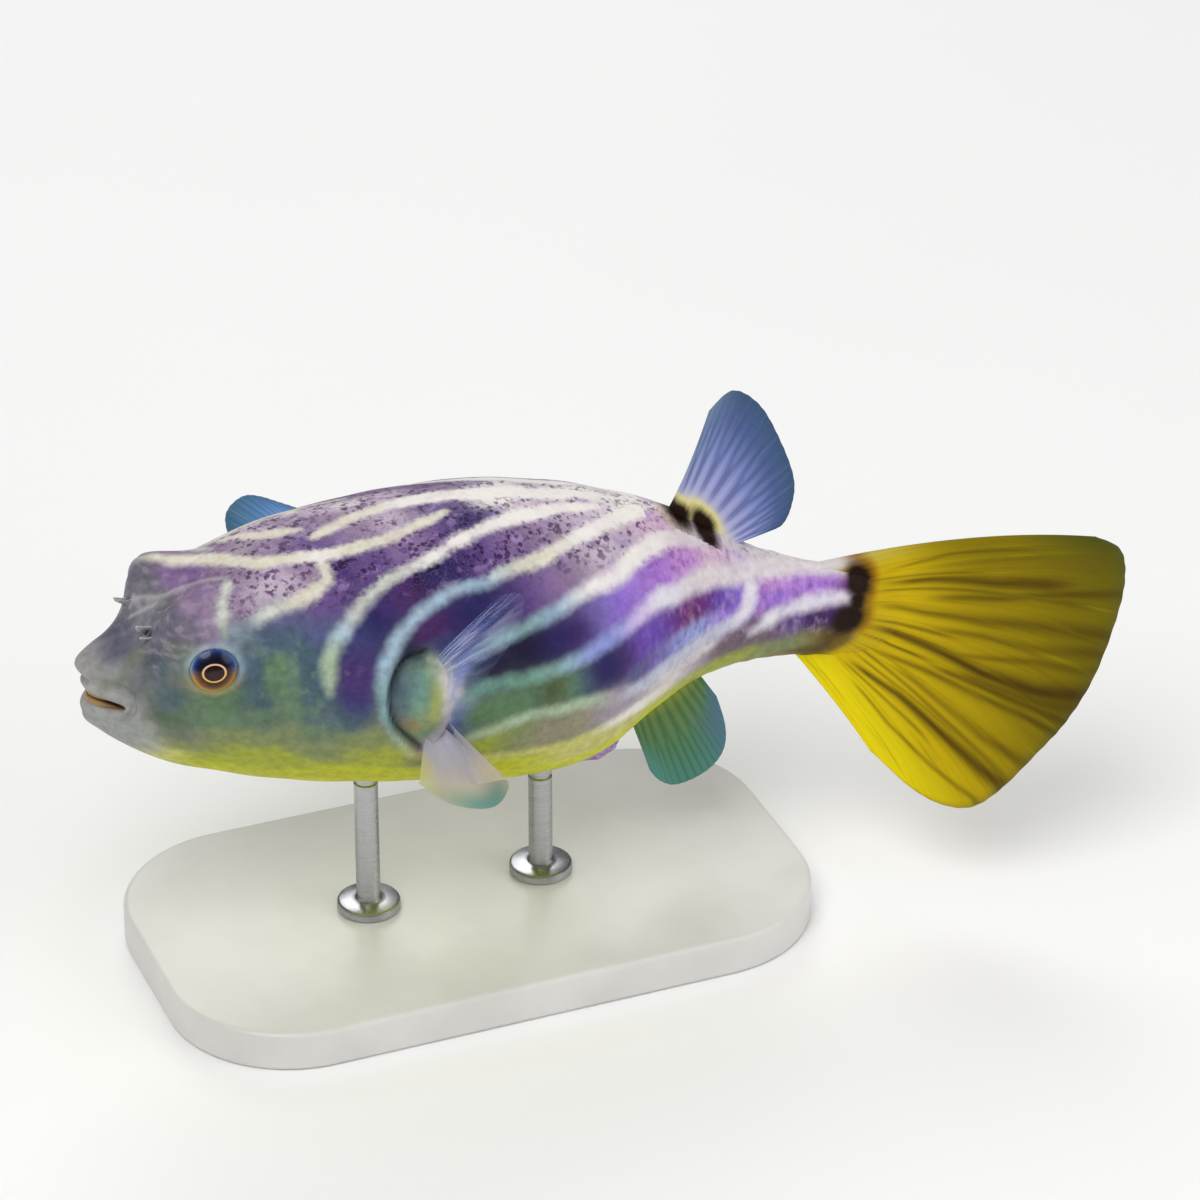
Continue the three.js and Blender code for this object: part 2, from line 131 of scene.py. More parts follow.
def smooth(value, low, high):
    """0 at low and 1 at high, with a soft start and end. low may be the greater of the two."""
    share = np.clip((value - low) / (high - low), 0, 1)
    return share * share * (3 - 2 * share)


def band(value, start, full, last, end):
    """1 from full to last, falling softly to 0 at start and at end."""
    return smooth(value, start, full) * smooth(value, end, last)


def bell(value, middle, width):
    return np.exp(-(((value - middle) / width) ** 2))


def mound(points, middle, radius):
    """1 at the middle, falling off with the distance from it."""
    return np.exp(-((points - middle) ** 2).sum(1) / radius**2)


def blend(first, second, share):
    return first * (1 - share) + second * share


def squared(value, power):
    return np.sign(value) * np.abs(value) ** power


def normalised(vectors):
    return vectors / np.maximum(np.linalg.norm(vectors, axis=-1, keepdims=True), 1e-9)


def mirrored(points):
    """The points with those of the left side brought over to the right."""
    return np.stack([points[:, 0], np.abs(points[:, 1]), points[:, 2]], 1)


def row_at(rows, place):
    """The rows of a table at fractional places, on a Catmull-Rom curve through them."""
    place = np.atleast_1d(np.asarray(place, float))
    first = np.clip(np.floor(place).astype(int), 0, len(rows) - 2)
    part = (place - first)[:, None]
    a, b, c, d = (rows[np.clip(first + k, 0, len(rows) - 1)] for k in (-1, 0, 1, 2))
    return b + 0.5 * part * (c - a + part * (2 * a - 5 * b + 4 * c - d + part * (3 * (b - c) + d - a)))


def plain_skin(place, turn):
    """Points of the skin before its swellings; here turn is a share of the way round, up to 0.5."""
    x, back, belly, side, level, sweep, underside = row_at(SECTIONS, place).T
    angle = turn * 2 * np.pi
    squareness = 0.86 + 0.14 * smooth(x, 60, 160)
    rise = squared(np.cos(angle), squareness)
    out = squared(np.sin(angle), squareness)
    z = level + rise * np.where(rise > 0, back - level, level - belly)
    return np.stack([x + sweep * out**2 - underside * np.minimum(rise, 0), -side * out, z], 1)


def skin(place, turn):
    """Points of the skin and the way out of it at each."""
    place = np.atleast_1d(np.asarray(place, float))
    turn = np.broadcast_to(np.asarray(turn, float), place.shape)
    points = plain_skin(place, turn)
    along = plain_skin(np.minimum(place + SLOPE_STEP, LAST_PLACE - POLE_GAP), turn)
    along -= plain_skin(np.maximum(place - SLOPE_STEP, POLE_GAP), turn)
    around = plain_skin(place, turn + SLOPE_STEP) - plain_skin(place, turn - SLOPE_STEP)
    outward = normalised(np.cross(around, along))
    outward[place <= POLE_GAP / 10] = (-1, 0, 0)
    outward[place >= LAST_PLACE - POLE_GAP / 10] = (1, 0, 0)
    both = mirrored(points)
    height = sum(standing * mound(both, middle, radius) for middle, radius, standing in SWELLINGS)
    height *= smooth(place, MOUTH_SECTIONS, MOUTH_SECTIONS + 2)
    return points + outward * height[:, None], outward


RING_PLACES = np.linspace(MOUTH_SECTIONS, LAST_PLACE, 3000)
RING_X = row_at(SECTIONS, RING_PLACES)[:, 0]


def on_ring(place, turn):
    """The skin's points at (place among the sections, turn), for the lips, where x runs back and forth."""
    return skin(place, np.atleast_1d(np.asarray(turn, float)) / 100)[0]


def on_skin(x, turn):
    """The skin's points at (x, turn), with turn in hundredths."""
    return on_ring(np.interp(x, RING_X, RING_PLACES), turn)


def trace(points, spacing, where=on_skin):
    """A curve over the skin through (x, turn, more...) points: its points there, and the rest of each row."""
    rows = np.array(points, float)
    rough = where(rows[:, 0], rows[:, 1])
    length = np.linalg.norm(np.diff(rough, axis=0), axis=1).sum()
    place = np.linspace(0, len(rows) - 1, max(3, int(length / spacing)))
    fine = row_at(rows, place)
    return where(fine[:, 0], fine[:, 1]), fine[:, 2:]


def distances(points, targets):
    """The squared distance from each point to each target."""
    squares = (points**2).sum(1)[:, None] + (targets**2).sum(1)[None, :] - 2 * points @ targets.T
    return np.maximum(squares, 0)


def near_box(points, curve, margin):
    """Which points are in a box round the curve, with that margin."""
    return (np.abs(points - curve.mean(0)) < np.ptp(curve, axis=0) / 2 + margin).all(1)


def nearness(points, line, width, side=1, where=on_skin):
    """1 on a line of (x, turn) points and less beyond it; side is 1 for the left and -1 for the right."""
    curve, _ = trace([(x, side * turn) for x, turn in line], LINE_SPACING, where)
    result = np.zeros(len(points))
    near = near_box(points, curve, 4 * width + 8)
    if near.any():
        result[near] = np.exp(-distances(points[near], curve).min(1) / width**2)
    return result


# ---------------------------------------------------------------- bending and holding up

SPINE_LENGTH = BODY_LENGTH + 100  # on past the tips of the tail fin


def turned(axis, angle):
    """The turn by an angle round one of the axes."""
    c, s = math.cos(angle), math.sin(angle)
    if axis == "x":
        return np.array([[1, 0, 0], [0, c, -s], [0, s, c]])
    if axis == "y":
        return np.array([[c, 0, s], [0, 1, 0], [-s, 0, c]])
    return np.array([[c, -s, 0], [s, c, 0], [0, 0, 1]])


def spine():
    """The spine's place and its back, right and up ways at every millimetre."""
    places, ways = [], []
    at = np.zeros(3)
    for x in range(SPINE_LENGTH + 1):
        share = max(0, (x - SWING_START) / (BODY_LENGTH - SWING_START)) ** 2
        way = turned("z", -TAIL_SWING * share) @ turned("y", TAIL_DROOP * share)
        way = way @ turned("x", -TAIL_TWIST * share)
        places.append(at)
        ways.append(way)
        at = at + way[:, 0]
    return np.array(places), np.array(ways)


SPINE_AT, SPINE_WAYS = spine()


def swing(points):
    """The straight fish's points where its bent spine carries them."""
    x = np.clip(points[:, 0], 0, SPINE_LENGTH - 1)
    near = np.floor(x).astype(int)
    part = x - near
    at = blend(SPINE_AT[near], SPINE_AT[near + 1], part[:, None])
    way = blend(SPINE_WAYS[near], SPINE_WAYS[near + 1], part[:, None, None])
    rest = points.copy()
    rest[:, 0] -= x
    return at + np.einsum("nij,nj->ni", way, rest)


def hold_up(points):
    """The bent fish's points at their height and tilt over the base, in metres."""
    return ((points - (BALANCE, 0, 0)) @ turned("y", TILT).T + (0, 0, BODY_HEIGHT)) * MM


def posed(points):
    return hold_up(swing(points))


# ---------------------------------------------------------------- meshes

MERGE_DISTANCE = 1e-6


def read(items, field):
    """Three numbers of every vertex or face of a mesh."""
    numbers = np.empty(len(items) * 3)
    items.foreach_get(field, numbers)
    return numbers.reshape(-1, 3)


def begin(operator, **settings):
    """Adds a primitive with nothing else selected."""
    bpy.ops.object.select_all(action="DESELECT")
    operator(**settings)
    return bpy.context.object


def begin_sheet(columns, rows, size=1):
    return begin(bpy.ops.mesh.primitive_grid_add, x_subdivisions=columns, y_subdivisions=rows, size=size)


def begin_ball(segments, rings):
    return begin(bpy.ops.mesh.primitive_uv_sphere_add, segments=segments, ring_count=rings, radius=1)


def begin_folded_sheet(columns, steps):
    """A sheet to fold into a leaf: each vertex's column and step, and the face, 1 or -1, that it is on."""
    sheet = begin_sheet(2 * columns, steps)
    along, up, _ = (read(sheet.data.vertices, "co") + 0.5).T
    column = np.rint(along * 2 * columns).astype(int)
    face = np.where(column <= columns, 1.0, -1.0)
    column = np.where(column > columns, 2 * columns - column, column)
    return sheet, column, np.rint(up * steps).astype(int), face


def edit(piece, *steps):
    """Runs edit-mode operators, each (operator, settings), on a piece."""
    bpy.ops.object.select_all(action="DESELECT")
    bpy.context.view_layer.objects.active = piece
    piece.select_set(True)
    bpy.ops.object.mode_set(mode="EDIT")
    for operator, settings in steps:
        operator(**settings)
    bpy.ops.object.mode_set(mode="OBJECT")


def select_none(piece, kind):
    edit(piece, (bpy.ops.mesh.select_mode, {"type": kind}), (bpy.ops.mesh.select_all, {"action": "DESELECT"}))


def store(piece, name, values):
    """Keeps a number or a colour for each vertex."""
    values = np.asarray(values, float)
    if values.ndim == 1:
        attribute = piece.data.attributes.new(name, "FLOAT", "POINT")
        attribute.data.foreach_set("value", values)
    else:
        attribute = piece.data.attributes.new(name, "FLOAT_COLOR", "POINT")
        rgba = np.concatenate([values, np.ones((len(values), 1))], 1)
        attribute.data.foreach_set("color", rgba.ravel())


def shape(piece, points, **values):
    """Brings a primitive's vertices to points, keeps values for them, and closes its seams and poles."""
    piece.data.vertices.foreach_set("co", points.ravel())
    piece.data.update()
    for name, value in values.items():
        store(piece, name, value)
    edit(
        piece,
        (bpy.ops.mesh.select_all, {"action": "SELECT"}),
        (bpy.ops.mesh.remove_doubles, {"threshold": MERGE_DISTANCE}),
        (bpy.ops.mesh.dissolve_degenerate, {"threshold": MERGE_DISTANCE / 10}),
        (bpy.ops.mesh.normals_make_consistent, {"inside": False}),
    )
    piece.data.shade_smooth()
    return piece


def finish_piece(piece, name, material, slot, *nodes):
    piece.name = name
    piece.data.name = name
    piece.data.materials.clear()
    piece.data.materials.append(material)
    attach(piece, "root")
    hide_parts(*nodes)


# ---------------------------------------------------------------- colours


def paint(red, green, blue):
    """A colour from its screen values, 0 to 255, as the light it gives back."""
    share = np.array([red, green, blue]) / 255
    return np.where(share <= 0.04045, share / 12.92, ((share + 0.055) / 1.055) ** 2.4)


# The colours of the stripes and strokes, as paint() takes them.
COLOURS = {
    "cream": (232, 228, 222), "butter": (215, 211, 192), "white": (218, 214, 224),
    "nose_tip": (156, 152, 150), "lip": (158, 158, 156), "lip_shade": (120, 124, 120),
    "chin": (152, 156, 152), "nose": (112, 113, 122), "nose_dark": (86, 86, 106), "fog": (134, 134, 140),
    "ash": (98, 104, 106), "sage": (110, 118, 100), "mauve": (142, 120, 148), "pale_mauve": (192, 176, 192),
    "rose": (206, 174, 196), "heather": (128, 102, 146), "plum": (98, 74, 130), "grape": (66, 46, 104),
    "wine": (66, 36, 88), "night": (28, 22, 54), "navy": (38, 32, 86), "steel": (82, 102, 152),
    "sea": (68, 90, 102), "slate": (86, 104, 108), "frost": (120, 138, 150), "violet": (100, 68, 164),
    "iris": (134, 100, 196), "magenta": (104, 40, 108), "orchid": (160, 112, 198),
    "pink_orchid": (186, 134, 200), "lavender": (204, 186, 224), "periwinkle": (140, 150, 206),
    "ice": (162, 188, 204), "teal": (108, 150, 136), "aqua": (136, 172, 174), "leaf": (166, 184, 156),
    "fresh": (106, 132, 100), "mint": (126, 148, 112), "moss": (88, 118, 86), "cheek": (96, 120, 94),
    "ink": (28, 32, 48), "olive": (128, 138, 92), "dark_olive": (72, 84, 54), "stone": (140, 136, 112),
    "dove": (160, 150, 160), "pearl": (212, 204, 206), "dusk": (112, 94, 108), "yellow": (202, 206, 30),
    "gold": (188, 192, 38), "straw": (194, 192, 112), "lime": (158, 166, 62), "brass": (124, 116, 62),
    "amber": (178, 150, 20), "fern": (84, 104, 82), "tide": (78, 104, 102), "bone": (198, 202, 192),
    "bluebell": (116, 102, 172), "lilac": (158, 122, 208), "mist": (184, 188, 206), "rust": (178, 122, 34),
    "umber": (92, 74, 18), "harbour": (72, 92, 110), "haze": (82, 84, 124), "chalk": (212, 202, 208),
    "denim": (58, 60, 106), "dust": (106, 100, 116),
}

# ---------------------------------------------------------------- markings


def run(*items):
    """The points of a stripe or stroke, each with the colour that was named last before it."""
    rows = []
    for item in items:
        if isinstance(item, str):
            colour = item
        else:
            rows.append((*item, colour))
    return rows


# The pale stripes: (x, turn, half width) along each. The paired ones are on both sides.
PAIRED_STRIPES = [
    run("leaf", (60.2, 23.6, 0.6), (60, 22.3, 1.3), (60, 20.7, 1.9), (60.9, 18.4, 2.0),
        "ice", (63.9, 16.3, 2.1), "bone", (67.8, 14.2, 1.8), (72.6, 12.0, 1.7), (80, 10, 1.6),
        "cream", (92, 8.4, 1.7), (103, 6.4, 1.9), (115, 5, 2.4), (124, 4.2, 2.6), (133, 3.6, 2.4),
        (141, 3.2, 1.6), (147, 3, 0.6)),
    run("straw", (88.5, 32.2, 0.8), (84.7, 31.4, 0.9), "leaf", (80.2, 29.0, 1.0), "aqua", (76.9, 26.8, 1.2),
        (75.4, 25.2, 1.4), (74.4, 23.5, 1.7), "ice", (74.6, 21.1, 1.8), (76.8, 19.1, 1.8),
        (80.4, 16.9, 1.6), (87.5, 14.6, 1.5), (96.4, 12.9, 1.5), (105.9, 12.4, 1.6),
        "bone", (111, 11.5, 1.8), "butter", (123, 10.4, 2.0), "cream", (136, 8.1, 2.2), (149, 5.4, 2.6),
        (160, 2.6, 3.0), (168, 1.5, 2.6)),
    run("periwinkle", (93.2, 24.5, 0.8), (95, 22.6, 1.2), (97.5, 20.9, 1.5), "aqua", (101.9, 19.9, 1.4),
        (105.5, 19.2, 1.5), (110.9, 18.5, 1.6), (116.9, 17.7, 1.7), "ice", (126.3, 16.3, 1.8),
        "cream", (136.3, 14.5, 2.1), (145.8, 13.3, 2.4), (151.2, 11.6, 2.7), (159.2, 9.5, 3.0),
        "pearl", (168.5, 7.9, 2.8), (177, 7.8, 1.6)),
    run("steel", (95, 25.2, 1.3), "teal", (97.5, 24.8, 1.7), (100.4, 24.2, 1.9), (107.3, 23.7, 2.0),
        (115.9, 23.3, 2.0), "aqua", (125.3, 22.8, 2.0), "periwinkle", (134.8, 21.7, 2.1),
        (143.4, 20.2, 2.3), "lavender", (151.9, 18.6, 2.7), "white", (159.4, 17.4, 2.9), (165.9, 17.2, 3.0),
        "pearl", (171.6, 16.3, 3.1), (178.3, 15.2, 3.3), (186.3, 13.6, 3.3), (193.5, 10.8, 3.2),
        (201.8, 7.3, 3.2), (209.7, 3.6, 3.2), (217.3, 1.0, 3.4), (224, 0, 3.4)),
    run("leaf", (95.5, 30.9, 0.9), (101.2, 29.5, 1.3), (108.4, 28.4, 1.5), (116.9, 27.5, 1.7),
        (126.3, 27.4, 1.7), (136, 27.4, 1.8), "dove", (145.2, 27.8, 1.9), "mist", (152, 28.0, 2.0),
        (159, 28.2, 2.1), (167, 28.0, 2.2), (176.2, 27.2, 2.2), (183.4, 26.0, 2.3),
        "white", (188.6, 24.2, 2.4), (191.8, 20.6, 2.4), (192.6, 16.7, 2.2), "pearl", (193, 13.6, 2.0)),
    run("straw", (97, 33.8, 1.0), (108.8, 33.0, 1.3), (119.7, 32.9, 1.5), (129.7, 33.2, 1.6),
        (138.8, 32.6, 1.8), "cream", (147.7, 31.8, 2.2), (156, 31.8, 2.4), "butter", (165, 33, 2.4)),
    run("bone", (38.6, 4.7, 1.0), (36.9, 7.3, 1.4), (35.7, 9.9, 1.6), (35, 12.2, 1.2),
        "mint", (34.8, 13.8, 0.6)),
    run("butter", (63, 6.2, 2.0), (63, 8.2, 2.0), (60.6, 9.3, 2.1), (57.1, 10.4, 2.3), (52.5, 11.2, 2.2),
        "bone", (48.2, 11.7, 1.8), (43.9, 12.2, 1.4), "frost", (41, 13.1, 1.0), (37.7, 13.5, 0.7)),
    run("white", (194.3, 27.5, 1.4), (197.5, 25.4, 1.8), (202, 22.6, 1.9), (208.2, 20.2, 1.9),
        (213.7, 18.6, 1.8), (218.5, 17.6, 1.6), "pearl", (222.5, 17.2, 1.2)),
]
SINGLE_STRIPES = [
    run("fog", (24.6, -11.4, 1.2), "butter", (29.9, -6.9, 1.8), (33.1, -5.3, 2.2), (37.7, -2.8, 2.5),
        (42.4, 0.7, 2.3), (48.2, 3.1, 2.3), (55, 3.9, 2.3), "cream", (63.4, 4.6, 2.3),
        "butter", (69, 4.8, 2.2), (76, 4.5, 2.2), (84, 4.1, 2.2), (94, 3.0, 1.9), (101, 2.0, 1.2)),
    run("butter", (44, -5.5, 1.6), (53, -1.6, 2.2), (58, -0.9, 2.0), (62, -0.4, 1.0)),
    run("butter", (64, 1.2, 0.9), (69, 0.6, 2.0), (77, -0.2, 2.2), (84, -0.7, 2.3),
        "cream", (92, -1.0, 2.6), (101, -0.9, 3.2), (112, -0.3, 3.6), (124, 0, 3.4), (136, 0.3, 3.0),
        (148, 0, 1.8), (156, 0, 0.6)),
    run("butter", (36, -9, 1.2), (44, -8, 1.6), (53, -8.5, 2.0), (61, -8, 2.0), (70, -7, 1.6),
        (80, -6, 0.8)),
]

# The thin folds over the brows, with their widths; pale lines are painted along them as painted highlights.
BROW_LINES = [
    ([(17.3, -6.1), (20.7, -3.8), (24, -1.3), (27.6, -0.7), (32.1, 0.4), (35.7, 2.1), (39.2, 3.6)], 0.75),
    ([(16.5, -2.6), (19.6, -1.4), (22.7, -0.8)], 0.6),
    ([(17.6, -4.6), (20, -5.6)], 0.6),
]

# The upper edge of the disc that the breast fin stands on, with a pale painted highlight along it.
DISC_RIM = [(86.6, 20.4), (89.6, 20.9), (91.6, 22.6), (92.3, 24.8), (92.0, 27.2), (90.2, 29.3), (87.8, 31)]

# Round the mouth, in strokes of (place among the sections, turn).
LIP_STROKES = [
    run("lip", (3.3, 0), (3.4, 12), "lip_shade", (3.4, 20), (3.3, 25), (3.4, 30), "lip", (3.4, 38),
        (3.3, 50)),
    run("lip", (4.2, 0), (4.3, 12), (4.4, 20), (4.3, 26), (4.3, 34), (4.2, 50)),
    run("lip", (5.1, 14), (5.3, 20), (5, 26), (5, 33), "chin", (5, 42), (5, 50)),
    run("nose_tip", (5.0, 0), (5.2, 5), (5.6, 9)),
    run("chin", (5.9, 28), (6, 34), (6, 42), (6, 50)),
    run("sage", (5.6, 9.5), (6.2, 14.5), "ash", (6.6, 18.5), (6.6, 22.5), (6.2, 26.5)),
]

# The ground between the stripes, in strokes of (x, turn).
PAIRED_STROKES = [
    # snout and brow
    run("nose_tip", (2.6, 1.4), "nose", (6.5, 1), "nose_dark", (11.3, 1.6), "nose", (15.5, 1.6),
        "fog", (19, 0.5)),
    run("nose_tip", (1.6, 5.6), "nose", (5, 6), "nose_dark", (8, 4.5), (10.9, 5.5), "nose", (14.4, 4.6)),
    run("nose_tip", (4, 9.5), "nose", (7.5, 9), "sage", (10.5, 9), (13.6, 9.2)),
    run("sage", (6, 12.5), "nose", (9, 14), "ash", (13, 13), "nose_dark", (17, 13), "ash", (19, 10.6)),
    run("ash", (9.5, 17.6), (14, 17), "slate", (18.7, 15.5), "ash", (21, 18), "sage", (23, 19.5)),
    run("fog", (17.3, 7.5), "dust", (21, 6.5), "nose", (23.1, 8.2), "dust", (25.5, 6)),
    run("ash", (21.8, 13.3), "sage", (25.1, 14.9), "dust", (25.6, 12.2)),
    run("sage", (9.6, 21), "ash", (11, 24.5), "sage", (11, 28)),
    run("slate", (16.5, 21.1), (15.4, 24.8), "sea", (20.2, 24), "cheek", (25.1, 24.7)),
    run("fern", (13, 28.0), (20.2, 27.8), "cheek", (28, 27), (36, 26.8), (44, 26.8)),
    run("chin", (11.0, 31), "sage", (17, 31.4), (25, 30.4), "olive", (34, 29.8), (44, 29.8)),
    run("chin", (11.4, 37), (3.6, 37.9), (7, 44), (12, 47)),
    run("chin", (14, 34.4), "olive", (21, 33.6), (30, 32.8), "lime", (40, 32.6), (52, 32.4)),
    run("chin", (15.4, 37.6), "straw", (22, 36.4), "lime", (30, 35.2), (42, 34.8), (55.5, 34.4)),
    run("chin", (15, 44), "straw", (20, 41), "gold", (27, 38.6), (34, 37.4)),
    # round the eye
    run("dust", (26.6, 10.3), (29.3, 11.6), "mauve", (32.6, 12)),
    run("mauve", (28.8, 5.8), "heather", (32.2, 5.3), "mauve", (34.1, 6.6)),
    run("mauve", (29.5, 8.6), (31.9, 8.8), (32.2, 10.6)),
    run("frost", (38.3, 14.6), "slate", (40.0, 16.4), "harbour", (40.6, 18.6), "sea", (41.2, 21.2),
        (40, 23)),
    # cheek
    run("moss", (30.6, 24.8), (36, 24), "sea", (41.6, 23.6), (44, 24.6)),
    run("harbour", (43, 16.9), (47, 15.9), (51.5, 15.8), "haze", (56, 15.6), (59.5, 15.6)),
    run("harbour", (44.6, 14.7), "haze", (48.5, 13.6), (53, 12.9), "plum", (58, 12.2), (62, 11.2)),
    run("moss", (45.6, 19.8), "fresh", (48.4, 20.2), (49.8, 22.4), "cheek", (49.4, 24.6)),
    run("sea", (53.4, 18.4), (55.3, 20.8), (55, 23.3), (57.4, 24.6)),
    run("moss", (46, 22.4), "cheek", (46, 25), (52, 25.8), "slate", (59, 26.2), "sea", (64.5, 26.6)),
    run("olive", (50, 27.8), "cheek", (58, 28.0), "olive", (66, 28.8), (73, 29.6)),
    # breast
    run("olive", (52, 30.4), (62, 30.8), "lime", (72, 31.4), (80, 32.4), "olive", (88, 33.6)),
    run("gold", (34, 38.4), (45, 37.4), (60, 36), (75, 35.6), (92, 36.4)),
    run("yellow", (36, 43), (60, 41), (90, 41), (120, 41), (148, 42)),
    run("yellow", (30, 49), (60, 49), (100, 49), (150, 49), (160, 47)),
    # behind the first stripe
    run("tide", (66, 27), "denim", (67.2, 25.2), "grape", (66.8, 23.3), (67, 20.5), "denim", (68.9, 17.7),
        "navy", (73.4, 14.9), "grape", (77.4, 12.9), "wine", (84, 11.9), "navy", (92, 10.6),
        "grape", (100, 9.2), "plum", (107, 8.6), "heather", (115, 8.2), "mauve", (125, 7.2),
        "pale_mauve", (137, 5.0), "chalk", (148, 2.6)),
    # behind the second
    run("ink", (81.7, 19.4), "wine", (85.4, 17.8), (90.3, 17), "navy", (96.8, 16), (104.8, 14.9),
        "grape", (112.4, 14.9), "plum", (119, 14.4), "heather", (125, 13.5), "mauve", (132, 12.1),
        "pale_mauve", (140, 10.1), (149, 8.2), "rose", (160, 6.2), (168, 4.6)),
    run("denim", (88.5, 19.2), (93, 18.6), "navy", (98, 17.6), (103, 16.8)),
    run("haze", (152, 25.8), "bluebell", (160, 25.6), "periwinkle", (168, 25.2), (176, 24.4),
        "lilac", (183, 23.4)),
    # behind the third
    run("sea", (99.4, 22.9), "ink", (101.9, 22.4), "night", (104.2, 21.4), "ink", (107.5, 20.5),
        "night", (111, 19.8), (115.9, 20.4), "navy", (125.3, 19.7), "grape", (133, 18.6),
        "bluebell", (139, 17.6), "iris", (146, 16.6), "lilac", (152, 15.2), "orchid", (157, 14.4),
        (162.2, 13.5), "pink_orchid", (167, 12.8), (172, 11.8), "rose", (178, 11), (184, 10),
        "lavender", (190, 8.6)),
    # below the fourth
    run("steel", (96, 27.2), "moss", (98.4, 27.2), (107.7, 26.2), (116.5, 25.7), "dark_olive", (124.4, 25),
        "moss", (129, 25.1), "sea", (133.5, 24.9), "navy", (138.5, 24.2), (143.6, 24),
        "grape", (148.1, 23.5), "violet", (153.8, 22.7), (160.3, 22), "magenta", (168.9, 21.6),
        (175.5, 20.9), "violet", (182, 20.1), "iris", (188, 19.5)),
    # below the fifth
    run("lime", (97, 32.3), (106, 31), "olive", (114, 30.6), "stone", (124, 30.2), (134, 30),
        "dove", (143, 29.7), (152, 29.4), "pearl", (163.2, 29.4), (172.9, 29.6), (179, 29.2)),
    run("pearl", (168.9, 32), "dove", (177, 32.6), "dusk", (184, 31.6), (193.3, 29.7), (199.4, 28.0),
        "plum", (205.6, 25.6), "wine", (211.9, 24.7), (218.3, 24.2), (221.6, 23.6)),
    run("gold", (104, 35.6), (120, 35.6), "straw", (134, 35.4), (146, 34.4), (156, 34.6)),
    run("yellow", (110, 38), (130, 38), (146, 37.4), (158, 38), (170, 39)),
    run("straw", (166, 36), "lime", (180, 37), (192, 36.4), "olive", (200, 36.4), (210, 34.4),
        "brass", (214, 32.2), "umber", (218, 31.6), (222, 30.6)),
    run("yellow", (175, 46), "lime", (190, 44), "brass", (206, 42), "umber", (212, 38), (220, 36),
        "amber", (222, 42)),
    # back
    run("mauve", (40, 9.8), "pale_mauve", (43.8, 8.6), (48.7, 7.4), (53, 7.6), "mauve", (58, 7)),
    run("plum", (66.5, 10.1), "grape", (68, 8.2), "plum", (73, 7.6), (78, 7), "heather", (84, 7.0),
        (91, 5.8), "plum", (97, 4.8), "grape", (103, 4.0), (109, 3.2), "plum", (113, 3.0)),
    run("mauve", (79, 1.8), "pale_mauve", (86, 1.4), "mauve", (92, 0.9), "plum", (97, 0.9), (103, 1.0)),
    run("cream", (112, 2.2), (119, 1.5)),
    run("chalk", (124, 1.8), "pale_mauve", (130, 2.6), "chalk", (137, 1.8)),
    run("cream", (134, 0), (142, 0), (150, 0), (160, 0)),
    run("rose", (163, 5), (168, 5.6), "pearl", (173, 6.4)),
    run("pearl", (186, 4), (196, 3), (208, 1), (220, 0)),
    # tail
    run("orchid", (194.6, 16.4), (197.2, 18.2), "iris", (201.6, 16.8), "orchid", (205.6, 15.6)),
    run("pink_orchid", (198, 14.4), (203, 13.2), "orchid", (207, 13.4), (210.5, 13.6), (214.5, 12.4),
        (219, 11), "magenta", (223, 9.4)),
    run("orchid", (210, 16), (216, 14.4), "magenta", (221.5, 13.4)),
    run("amber", (231, 6), (231, 20), (231, 32), (231, 45)),
    run("amber", (236, 4), (236, 20), (236, 48)),
    run("amber", (243, 4), (243, 25), (243, 48)),
    # root of the breast fin
    run("sea", (79.6, 23.4), "slate", (80.4, 26), "cheek", (83.6, 28.9)),
    run("slate", (82.2, 22.2), "teal", (82.6, 24.6), "fresh", (83.4, 28.0), "mint", (85.6, 29.4)),
    run("teal", (84.6, 22.0), (85.6, 24.2), "mint", (85.8, 26.2), "fresh", (86.8, 28.4)),
    run("mint", (87.6, 22.2), "lime", (88.6, 24), (88.8, 26), "fresh", (88.6, 28)),
    run("rust", (82.2, 26.7), (83.0, 27.2), (83.7, 27.8)),
    # along the disc's upper rim, pearl and dove as a painted highlight
    run("slate", (84, 20.6), "mint", (87.3, 20.7), "pearl", (91, 22.6), (92, 24.8), "dove", (91.8, 27.2),
        (89.6, 29.6), (87, 31.2)),
    run("steel", (94.2, 26), (94.2, 28), (92.4, 30)),
]
SINGLE_STROKES = [
    run("ash", (24.5, -4.6), "dusk", (27, -6.6), "heather", (28.6, -4.6), (30, -2.4), (34.6, -0.8),
        "mauve", (38.5, 1.0)),
    run("fog", (22.5, -5.6), "ash", (21.4, -1), (24.4, 1.2), "mauve", (27.4, 2.4)),
    run("mauve", (41, 3), (44.6, 5), "pale_mauve", (49, 5.6), "mauve", (56, 5.8)),
    run("dove", (45, -0.9), "mauve", (51.6, 0.8), "heather", (57, 1.4), "plum", (61, 2.0), (66, 2.6),
        "heather", (71, 2.6), "mauve", (76, 2.0)),
    run("mauve", (38, -5), (45, -3.2), "pale_mauve", (52, -4.6), "mauve", (60, -4)),
    run("mauve", (64, -1.3), (73, -0.9), "pale_mauve", (80, -1.2)),
    run("pale_mauve", (93, -4.3), "mauve", (100, -3.5), "pale_mauve", (110, -3.4), "chalk", (118, -2.4)),
    run("pale_mauve", (46, -6.6), "chalk", (56, -6), "pale_mauve", (66, -4.6), "chalk", (78, -3.4),
        "pale_mauve", (88, -3.2)),
    run("mauve", (28, -12), "heather", (33, -12), "pale_mauve", (44, -12)),
]

# The dark patches at the roots of the back and tail fins, on skin and fins alike: middle (x, z), half
# length, half height and slope, on the straight fish, out to a distance from its middle plane.
PATCHES = [
    (171.6, 31.2, 3.9, 3.0, -0.55),
    (179.0, 27.0, 3.9, 4.0, -0.75),
    (225.4, 11.2, 3.8, 4.8, -0.25),
    (225.9, 5.4, 2.4, 4.6, 0.0),
    (223.8, 0.2, 5.0, 4.2, 0.20),
]
PATCH_REACH = 9

